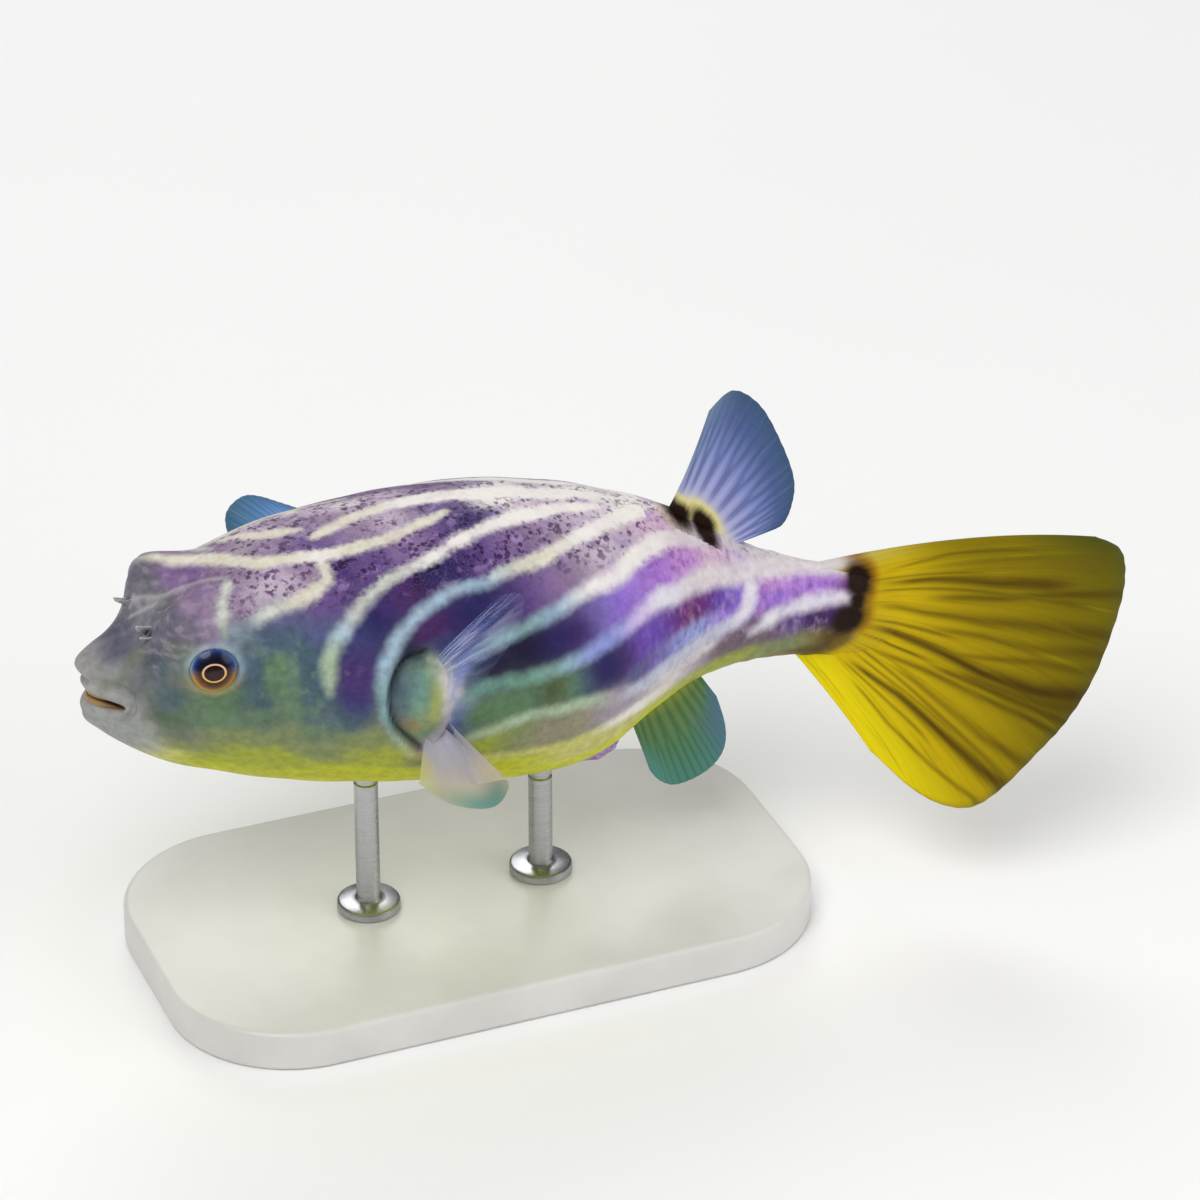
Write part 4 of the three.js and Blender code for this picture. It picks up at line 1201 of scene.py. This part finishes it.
class Value:
    """A number or a colour that a finish works out for each spot of a piece."""

    def __init__(self, finish, socket):
        self.finish = finish
        self.socket = socket

    def __add__(self, other):
        return self.finish.math("ADD", self, other)

    def __sub__(self, other):
        return self.finish.math("SUBTRACT", self, other)

    def __mul__(self, other):
        return self.finish.math("MULTIPLY", self, other)

    def __truediv__(self, other):
        return self.finish.math("DIVIDE", self, other)

    def between(self, low, high, to_low=0.0, to_high=1.0):
        """Carried smoothly from low..high to to_low..to_high."""
        inputs = {0: self, 1: low, 2: high, 3: to_low, 4: to_high}
        return self.finish.node("MapRange", inputs, interpolation_type="SMOOTHSTEP")

    def ramp(self, *stops):
        """Colours at places from 0 to 1, each (place, red, green, blue)."""
        node = self.finish.tree.nodes.new("ShaderNodeValToRGB")
        self.finish.feed(node.inputs[0], self)
        elements = node.color_ramp.elements
        while len(elements) < len(stops):
            elements.new(0.5)
        for element, (place, *shade) in zip(elements, stops):
            element.position = place
            element.color = (*paint(*shade), 1)
        return Value(self.finish, node.outputs[0])

    def tint(self, first, second):
        """One colour where this is 0 and the other where it is 1."""
        return self.finish.mix(self, paint(*first), paint(*second))

    def mixed(self, share, other, how="MIX"):
        return self.finish.mix(share, self, other, how)

    def under(self, *coats):
        """This colour with coats laid over it, each (share, red, green, blue)."""
        result = self
        for share, *shade in coats:
            result = result.mixed(share, paint(*shade))
        return result

    def bump(self, depth, strength, below=None):
        """Raises the surface by up to depth millimetres where this is 1."""
        inputs = {"Height": self, "Distance": depth * MM, "Strength": strength}
        if below:
            inputs["Normal"] = below
        return self.finish.node("Bump", inputs)


class Finish:
    """A material and the few kinds of node that the finishes are made of."""

    def __init__(self, name, **values):
        self.material = bpy.data.materials.new(name)
        self.material.use_nodes = True
        self.tree = self.material.node_tree
        self.shader = self.tree.nodes["Principled BSDF"]
        self.set(**values)

    def set(self, **values):
        """Sets the shader's inputs, whose names have spaces where these have underscores."""
        for name, value in values.items():
            self.feed(self.shader.inputs[name.replace("_", " ")], value)

    def made(self, **values):
        """The material, with these inputs of its shader set."""
        self.set(**values)
        return self.material

    def rough(self, colour, noise, low, high, depth, strength):
        """The material in this colour, with a noise that makes it rougher and raises it."""
        roughness = noise.between(0.3, 0.7, low, high)
        return self.made(Base_Color=colour, Roughness=roughness, Normal=noise.bump(depth, strength))

    def feed(self, socket, value):
        if isinstance(value, Value):
            self.tree.links.new(value.socket, socket)
        elif isinstance(value, np.ndarray):
            socket.default_value = (*value, 1)
        else:
            socket.default_value = value

    def node(self, kind, inputs, output=0, **settings):
        node = self.tree.nodes.new("ShaderNode" + kind)
        for name, value in settings.items():
            setattr(node, name, value)
        for key, value in inputs.items():
            self.feed(node.inputs[key], value)
        return Value(self, node.outputs[output])

    def math(self, operation, a, b=0.0):
        return self.node("Math", {0: a, 1: b}, operation=operation)

    def mix(self, share, a, b, how="MIX"):
        return self.node("Mix", {0: share, 6: a, 7: b}, 2, data_type="RGBA", blend_type=how)

    def colour(self, name):
        return self.node("Attribute", {}, 0, attribute_name=name)

    def number(self, name):
        return self.node("Attribute", {}, 2, attribute_name=name)

    def numbers(self, *names):
        return [self.number(name) for name in names]

    def place(self):
        return self.node("TexCoord", {}, 3)

    def noise(self, feature, detail, stretch=None, roughness=0.5):
        """Soft noise between 0 and 1 with features of that size in millimetres."""
        place = self.place()
        if stretch:
            place = self.node("Mapping", {"Vector": place, "Scale": stretch})
        inputs = {"Vector": place, "Scale": 1 / (feature * MM), "Detail": detail, "Roughness": roughness}
        return self.node("TexNoise", inputs)

    def grain(self, across, along, scale, detail, roughness=0.5):
        """Noise over two numbers of the piece instead of its place, as in fibres."""
        inputs = {"Scale": scale, "Detail": detail, "Roughness": roughness}
        return self.node("TexNoise", {"Vector": self.node("CombineXYZ", {0: across, 1: along}), **inputs})

    def shaken_place(self, feature, amount):
        """The place, pushed about by up to an amount in millimetres, for breaking up even patterns."""
        inputs = {"Vector": self.place(), "Scale": 1 / (feature * MM), "Detail": 1.0}
        push = self.node("TexNoise", inputs, 1)
        push = self.node("VectorMath", {0: push, 3: amount * MM}, operation="SCALE")
        return self.node("VectorMath", {0: self.place(), 1: push}, operation="ADD")

    def cells(self, size, place):
        return self.node("TexVoronoi", {"Vector": place, "Scale": 1 / (size * MM)})


# ---------------------------------------------------------------- the fish's finishes

DARK_MARK = (30, 14, 4)


def skin_finish():
    finish = Finish(
        "puffer_skin", Coat_Weight=0.05, Coat_Roughness=0.22, Subsurface_Weight=0.06, Subsurface_Scale=0.0015,
        Subsurface_Radius=(1.0, 0.6, 0.5), Specular_IOR_Level=0.12,
    )
    speckle, leather, mottle, brow = finish.numbers("speckle", "leather", "mottle", "brow")
    stripe, patch, line, groove_shade = finish.numbers("stripe", "patch", "line", "groove_shade")
    smooth_lip, fin_root = finish.numbers("smooth_lip", "fin_root")
    wide, fine, grain = finish.noise(6.5, 2), finish.noise(1.6, 3), finish.noise(0.55, 1)
    folds = finish.noise(2.4, 4, (0.7, 0.5, 1.3))
    wrinkled = finish.noise(2.0, 4, (1.15, 1.0, 0.62))
    patches = finish.noise(4.0, 2)

    ground = finish.colour("ground").under(
        (finish.noise(9, 3).between(0.35, 0.75, 0, 0.12), 60, 40, 90),
        (finish.noise(2.6, 3).between(0.52, 0.66) * speckle * 0.56, 52, 26, 84),
        (finish.noise(4.5, 2).between(0.54, 0.68) * speckle * 0.48, 168, 142, 188),
        # Over the brow and the leathery skin ahead of the tail, small folds and wrinkles: pale on their tops
        # as painted highlight and dark between them as painted shade.
        (folds.between(0.50, 0.64) * (brow * 0.30), 172, 162, 176),
        (folds.between(0.48, 0.34) * (brow * 0.26), 72, 60, 92),
        (wrinkled.between(0.46, 0.74) * leather * 0.26, 204, 184, 224),
        (wrinkled.between(0.50, 0.28) * leather * 0.46, 66, 40, 116),
        (patches.between(0.5, 0.7) * mottle * 0.35, 56, 80, 104),
        (patches.between(0.46, 0.28) * mottle * 0.22, 134, 160, 116),
    )

    # The stripes, with frayed edges, and a light and dark grain over everything.
    inside = stripe + (wide - 0.5) * 2.0 + (fine - 0.5) * speckle.between(0, 1, 1.0, 2.4)
    share = (inside / speckle.between(0, 1, 2.0, 1.35)).between(-1, 1) * wide.between(0.3, 0.6, 0.80, 0.94)
    tone = finish.noise(2.6, 5, roughness=0.6).between(0.3, 0.7, 0.36, 0.64)
    grey = finish.node("CombineColor", {0: tone, 1: tone, 2: tone})
    body = ground.mixed(share, finish.colour("pale")).mixed(0.48, grey, "OVERLAY")

    # The back's dark dots and blots, fewer on the stripes, and its pale grain.
    dots = finish.cells(2.3, finish.shaken_place(1.2, 0.9)).between(0.41, 0.25)
    dots = finish.math("MAXIMUM", dots, finish.noise(1.9, 3).between(0.55, 0.63))
    dots = dots * finish.noise(5, 2).between(0.38, 0.54) * inside.between(1.0, -0.8, 0.04, 1.0) * speckle
    body = body.mixed(dots * 0.92, paint(134, 112, 150), "MULTIPLY")
    body = body.under((grain.between(0.5, 0.8) * (speckle * 0.10), 214, 200, 212))

    edge = patch + (fine - 0.5)
    body = body.mixed(fin_root, tail_shade(finish, fin_fibre(finish))).under(
        # pale lines along the brow folds and the discs' rims: painted highlights
        (line * 0.55, 188, 184, 182),
        # the gill slits and nostrils: painted shade
        (groove_shade * 0.9, 30, 34, 50),
        (edge.between(-2.4, -0.6) * (speckle * 0.7), 206, 192, 120),
        (edge.between(-1.7, 1.5), *DARK_MARK),
    )
    pores = finish.cells(0.9, finish.place()) * smooth_lip.between(0, 1, 1, 0.2)
    normal = (wrinkled * leather).bump(0.5, 0.6, pores.bump(0.08, 0.5))
    normal = wide.bump(0.3, 0.3, normal)
    return finish.made(Base_Color=body, Roughness=fine.between(0.3, 0.7, 0.40, 0.54), Normal=normal)


def eye_finish():
    finish = Finish(
        "puffer_eye", Roughness=0.25, Coat_Weight=0.4, Coat_Roughness=0.05, Coat_IOR=1.4,
        Specular_IOR_Level=0.2,
    )
    pupil, iris, lift, spoke = finish.numbers("pupil", "iris", "lift", "spoke")
    low = (iris * 0.125).ramp(
        (0.0, 44, 20, 16), (0.46, 50, 30, 16), (0.56, 84, 54, 16), (0.64, 124, 84, 24), (0.71, 176, 134, 62),
        (0.77, 146, 120, 72), (0.84, 80, 76, 54),
    )
    # The upper half: dark navy, the iris's own blue darkened by painted shade under the lid, and pale
    # blue-white at its outer edge as a painted highlight of the wet lid's edge.
    high = (iris * 0.125).ramp(
        (0.0, 20, 12, 20), (0.42, 10, 10, 26), (0.54, 14, 18, 48), (0.64, 24, 38, 88), (0.71, 44, 78, 134),
        (0.77, 124, 160, 190), (0.84, 150, 186, 204),
    )
    spokes = finish.grain(spoke, iris * 0.15, 5.0, 3.0)
    gleam = spokes.between(0.5, 0.75, 0, 0.25) * lift.between(0.1, -0.2)
    ring = pupil.between(2.45, 2.7) * pupil.between(3.2, 2.95)
    ring_colour = lift.between(-0.4, 0.4).tint((228, 164, 90), (218, 176, 150))
    # The pupil: near black, a little lighter at its middle as a faint painted reflection.
    pupil_and_reflection = (pupil * 0.3).ramp((0.0, 54, 22, 22), (0.35, 38, 12, 14), (0.8, 18, 6, 10))
    colour = low.mixed(lift.between(-0.42, 0.24), high).under((gleam, 150, 96, 44))
    return finish.made(Base_Color=colour.mixed(ring, ring_colour).mixed(pupil.between(2.6, 2.4), pupil_and_reflection))


def beak_finish():
    finish = Finish("puffer_beak", Roughness=0.4, Coat_Weight=0.3, Coat_Roughness=0.15)
    along, height = finish.numbers("along", "height")
    grain = finish.noise(0.8, 4, (1, 0.25, 1))
    colour = grain.tint((132, 104, 58), (168, 138, 84)).under(
        (finish.math("ABSOLUTE", along).between(4.5, 8), 108, 60, 44),
        # darker along the biting edge, where the two plates meet: painted shade
        (height.between(0.7, 0.2, 0, 0.3), 84, 60, 34),
    )
    return finish.made(Base_Color=colour, Normal=grain.bump(0.08, 0.6))


def damp_finish(name, scale):
    """Thin bare skin, a little glossy and with light in it."""
    return Finish(name, Coat_Weight=0.15, Coat_Roughness=0.2, Subsurface_Weight=0.15, Subsurface_Scale=scale)


def flap_finish():
    finish = damp_finish("nostril_skin", 0.001)
    tip, inner = finish.numbers("tip", "inner")
    fine = finish.noise(0.7, 3)
    colour = tip.between(0.1, 0.6).tint((112, 112, 118), (172, 174, 178)).under(
        (fine.between(0.5, 0.7, 0, 0.25), 120, 114, 128),
        # painted shade on the inner face of the curl
        (inner, 34, 32, 42),
    )
    return finish.rough(colour, fine, 0.4, 0.55, 0.1, 0.5)


def vent_finish():
    finish = damp_finish("vent_skin", 0.002)
    fine = finish.noise(1.2, 4)
    colour = fine.between(0.35, 0.65).tint((142, 108, 168), (186, 158, 198))
    colour = colour.under((finish.number("tip").between(0.35, 0.1), 186, 176, 90))
    return finish.rough(colour, fine, 0.4, 0.55, 0.3, 0.6)


def fin_fibre(finish):
    """Fine streaks that run out along a fin."""
    across, reach = finish.numbers("across", "reach")
    return finish.grain(across * 60, reach * 2.0, 1.0, 4.0, 0.6)


def fin_finish(name, shade, alpha=None):
    """A fin's skin: shade(finish, fibre) gives its colour, alpha(finish, fibre) how solid it is."""
    finish = Finish(
        name, Coat_Weight=0.02, Coat_Roughness=0.3, Subsurface_Weight=0.04, Subsurface_Scale=0.001,
        Specular_IOR_Level=0.1,
    )
    fibre = fin_fibre(finish)
    edge = finish.number("patch") + (fibre - 0.5) * 1.6
    colour = shade(finish, fibre).under((edge.between(-1.7, 1.5), *DARK_MARK))
    if alpha:
        finish.set(Alpha=alpha(finish, fibre))
    return finish.rough(colour, fibre, 0.48, 0.62, 0.16, 0.6)


def tail_shade(finish, fibre):
    reach, across, patch, streak = finish.numbers("reach", "across", "patch", "streak")
    return reach.ramp(
        (0.0, 184, 156, 10), (0.25, 194, 166, 6), (0.5, 168, 144, 2), (0.75, 140, 122, 0), (1.0, 104, 94, 2),
    ).under(
        # Lighter over the lower lobe: partly its own brighter yellow, partly painted light that makes up for
        # the shade it lies in.
        (across.between(0.48, 0.72, 0, 0.6), 206, 176, 4),
        (across.between(0.66, 0.96, 0, 0.85), 230, 212, 6),
        (across.between(0.46, 0.10) * reach.between(0.2, 0.55) * 0.7, 110, 98, 2),
        (across.between(0.10, 0.0) * reach.between(0.45, 0.05) * 0.7, 176, 172, 96),
        (fibre.between(0.50, 0.72, 0, 0.4), 112, 84, 0),
        (fibre.between(0.46, 0.28, 0, 0.14), 216, 194, 20),
        (streak * fibre.between(0.2, 0.6, 0.8, 1.0) * 0.94, 66, 44, 0),
        (reach.between(0.62, 1.0) * across.between(0.30, 0.04) * 0.85, 70, 72, 16),
        (reach.between(0.955, 1.0) * 0.35, 80, 84, 50),
        (patch.between(-3.2, -0.6) * 0.75, 138, 84, 8),
        (across.between(0.07, 0.02) * reach.between(0.16, 0.05), 206, 200, 200),
    )


def back_fin_shade(finish, fibre):
    reach, ray, across, patch = finish.numbers("reach", "ray", "across", "patch")
    gap = ray.between(0.62, 0.10) * reach.between(0.20, 0.38) * reach.between(0.97, 0.68, 0.25, 1)
    return reach.ramp(
        (0.0, 214, 206, 170), (0.22, 198, 194, 198), (0.32, 158, 160, 204), (0.55, 118, 130, 182),
        (0.8, 74, 94, 138), (1.0, 58, 82, 112),
    ).under(
        (across.between(0.22, 0.0) * reach.between(0.2, 0.5) * 0.7, 122, 140, 168),
        (gap * 0.55, 60, 76, 134),
        (ray.between(0.75, 1.0) * reach.between(0.8, 0.4) * 0.3, 184, 182, 224),
        (fibre.between(0.5, 0.75, 0, 0.15), 160, 166, 210),
        (patch.between(-3.6, -0.8) * 0.85, 222, 212, 128),
    )


def vent_fin_shade(finish, fibre):
    reach, ray, across = finish.numbers("reach", "ray", "across")
    return reach.ramp(
        (0.0, 176, 172, 56), (0.18, 150, 158, 60), (0.34, 98, 128, 76), (0.65, 80, 124, 92),
        (1.0, 78, 132, 122),
    ).under(
        (ray.between(0.5, 0.9) * reach.between(0.85, 0.5) * 0.22, 126, 150, 90),
        (ray.between(0.5, 0.1) * reach.between(0.12, 0.3) * 0.34, 50, 84, 52),
        (across.between(0.4, 0.05) * reach.between(0.45, 0.85) * 0.7, 92, 154, 144),
        (across.between(0.45, 0.8) * reach.between(0.35, 0.8) * 0.7, 80, 108, 136),
    )


def left_fin_shade(finish, fibre):
    reach, across = finish.numbers("reach", "across")
    upper = fibre.between(0.46, 0.60).tint((108, 122, 188), (186, 196, 226))
    tip = reach.between(0.70, 0.95) * across.between(0.66, 0.76) * across.between(0.96, 0.80, 0.15, 1.0)
    lower = reach.ramp(
        (0.0, 190, 176, 188), (0.3, 182, 180, 192), (0.6, 190, 184, 184), (0.85, 202, 192, 166),
        (1.0, 198, 190, 158),
    ).under(
        (across.between(0.9, 1.0) * reach.between(0.35, 0.6) * 0.7, 204, 202, 124),
        (tip * 0.9, 96, 148, 138),
    )
    return upper.mixed(across.between(0.52, 0.62), lower).under((reach.between(0.10, 0.02), 206, 180, 194))


def left_fin_alpha(finish, fibre):
    reach, across = finish.numbers("reach", "across")
    upper = fibre.between(0.35, 0.66, 0.35, 1.0) * reach.between(0.1, 1.0, 0.62, 0.10)
    upper = upper * across.between(0.34, 0.20, 0.25, 1.0)
    lower = across.between(0.55, 0.66) * across.between(1.0, 0.84, 0.55, 0.92)
    return finish.math("MAXIMUM", finish.math("MAXIMUM", lower, upper), reach.between(0.14, 0.04))


def right_fin_shade(finish, fibre):
    reach, ray, across = finish.numbers("reach", "ray", "across")
    return reach.ramp(
        (0.0, 176, 192, 228), (0.5, 150, 178, 226), (0.8, 96, 140, 196), (1.0, 66, 108, 140),
    ).under(
        (ray.between(0.6, 0.1) * 0.35, 58, 88, 150),
        (across.between(0.35, 0.62) * reach.between(0.55, 0.95) * 0.3, 74, 118, 100),
        (fibre.between(0.5, 0.75, 0, 0.2), 176, 188, 226),
    )


# ---------------------------------------------------------------- the stand's and the floor's finishes


def base_finish():
    finish = Finish("stand_lacquer", Coat_Weight=0.25, Coat_Roughness=0.2)
    mist, grain = finish.noise(30, 3), finish.noise(0.35, 2)
    colour = mist.between(0.3, 0.7).tint((206, 205, 201), (216, 215, 212))
    colour = colour.under((grain.between(0.6, 0.8, 0, 0.25), 188, 187, 182))
    roughness = mist.between(0.3, 0.7, 0.42, 0.52)
    return finish.made(Base_Color=colour, Roughness=roughness, Normal=grain.bump(0.03, 0.4))


def rod_finish():
    finish = Finish("brushed_steel", Metallic=1.0)
    rings = finish.noise(0.5, 3, (0.06, 0.06, 1))
    return finish.rough(rings.tint((172, 174, 178), (206, 208, 210)), rings, 0.24, 0.38, 0.02, 0.4)


def floor_finish():
    finish = Finish("studio_floor", Roughness=0.85)
    return finish.made(Base_Color=finish.noise(260, 3).tint((243, 243, 243), (246, 246, 246)))


# ---------------------------------------------------------------- the pieces


def build_fish():
    finish_piece(make_skin(), "fish_skin", skin_finish(), "skin", "head", "trunk", "tail")
    eye, beak, flap = eye_finish(), beak_finish(), flap_finish()
    for name, side in (("left", -1), ("right", 1)):
        finish_piece(make_eye(side), f"fish_eye_{name}", eye, "eye", f"eye_{name}")
        node = f"nostril_flap_{name}"
        finish_piece(make_nostril_flap(side), f"fish_{node}", flap, "pale_skin", node)
    for name, up in (("upper", 1), ("lower", -1)):
        finish_piece(make_beak(up), f"fish_beak_{name}", beak, "beak", f"beak_{name}")
    finish_piece(make_vent(), "fish_vent", vent_finish(), "pale_skin", "vent")
    for name, fin, slot, skin_name, shades in (
        ("back_fin", BACK_FIN, "blue_fin", "back_fin_skin", (back_fin_shade,)),
        ("vent_fin", VENT_FIN, "green_fin", "vent_fin_skin", (vent_fin_shade,)),
        ("tail_fin", TAIL_FIN, "yellow_fin", "tail_fin_skin", (tail_shade,)),
        ("breast_fin_left", LEFT_FIN, "clear_fin", "left_fin_skin", (left_fin_shade, left_fin_alpha)),
        ("breast_fin_right", RIGHT_FIN, "clear_fin", "right_fin_skin", (right_fin_shade,)),
    ):
        finish_piece(make_fin(fin), f"fish_{name}", fin_finish(skin_name, *shades), slot, name)


def build_stand():
    finish_piece(make_base(), "display_base", base_finish(), "stand_base", "stand_base")
    steel = rod_finish()
    for name in ROD_PLACES:
        finish_piece(make_rod(name), f"display_rod_{name}", steel, "stand_rod", f"stand_rod_{name}")


# ---------------------------------------------------------------- floor, light and camera

VIEW_AZIMUTH = math.radians(-22)
VIEW_ELEVATION = math.radians(30)
VIEW_DISTANCE = 1.4
VIEW_TARGET = Vector((0.02204, -0.04502, 0.12457))
VIEW_HALF_WIDTH = 0.1146  # at a distance of 1
LIGHT_TARGET = Vector((0, 0, 0.09))
ROOM_LIGHT = 0.50
MIRRORED_ROOM_LIGHT = 0.12


def add_floor():
    floor = begin(bpy.ops.mesh.primitive_plane_add, size=12)
    floor.name = "studio_floor"
    floor.data.materials.append(floor_finish())


def add_light(name, place, size, power, colour=(1, 1, 1)):
    data = bpy.data.lights.new(name, "AREA")
    data.shape = "DISK"
    data.size = size
    data.energy = power
    data.color = colour
    light = bpy.data.objects.new(name, data)
    bpy.context.scene.collection.objects.link(light)
    light.location = place
    light.rotation_euler = (LIGHT_TARGET - Vector(place)).to_track_quat("-Z", "Y").to_euler()


def add_room():
    """White light from all sides, and less of it in what a glossy surface mirrors."""
    world = bpy.data.worlds.new("studio")
    world.use_nodes = True
    nodes, links = world.node_tree.nodes, world.node_tree.links
    either = nodes.new("ShaderNodeMixShader")
    links.new(nodes.new("ShaderNodeLightPath").outputs["Is Glossy Ray"], either.inputs[0])
    rooms = (nodes["Background"], ROOM_LIGHT), (nodes.new("ShaderNodeBackground"), MIRRORED_ROOM_LIGHT)
    for socket, (room, strength) in enumerate(rooms, 1):
        room.inputs["Color"].default_value = (1, 1, 1, 1)
        room.inputs["Strength"].default_value = strength
        links.new(room.outputs[0], either.inputs[socket])
    links.new(either.outputs[0], nodes["World Output"].inputs["Surface"])
    bpy.context.scene.world = world


def add_camera():
    data = bpy.data.cameras.new("camera")
    data.sensor_width = 36
    data.lens = data.sensor_width / 2 / VIEW_HALF_WIDTH
    data.clip_end = 50
    camera = bpy.data.objects.new("camera", data)
    bpy.context.scene.collection.objects.link(camera)
    back = Vector((
        math.sin(VIEW_AZIMUTH) * math.cos(VIEW_ELEVATION),
        -math.cos(VIEW_AZIMUTH) * math.cos(VIEW_ELEVATION),
        math.sin(VIEW_ELEVATION),
    ))
    camera.location = VIEW_TARGET + back * VIEW_DISTANCE
    camera.rotation_euler = back.to_track_quat("Z", "Y").to_euler()
    bpy.context.scene.camera = camera


add_floor()
add_light("key_light", (-0.7, -0.8, 1.5), 1.1, 15.5, (1.0, 0.985, 0.96))
add_light("fill_light", (1.1, -1.0, 0.8), 1.2, 6.3, (0.96, 0.98, 1.0))
add_light("back_light", (0.3, 1.3, 1.2), 1.0, 7)
add_room()
add_camera()
bpy.context.scene.view_settings.view_transform = "Standard"
build_fish()
build_stand()
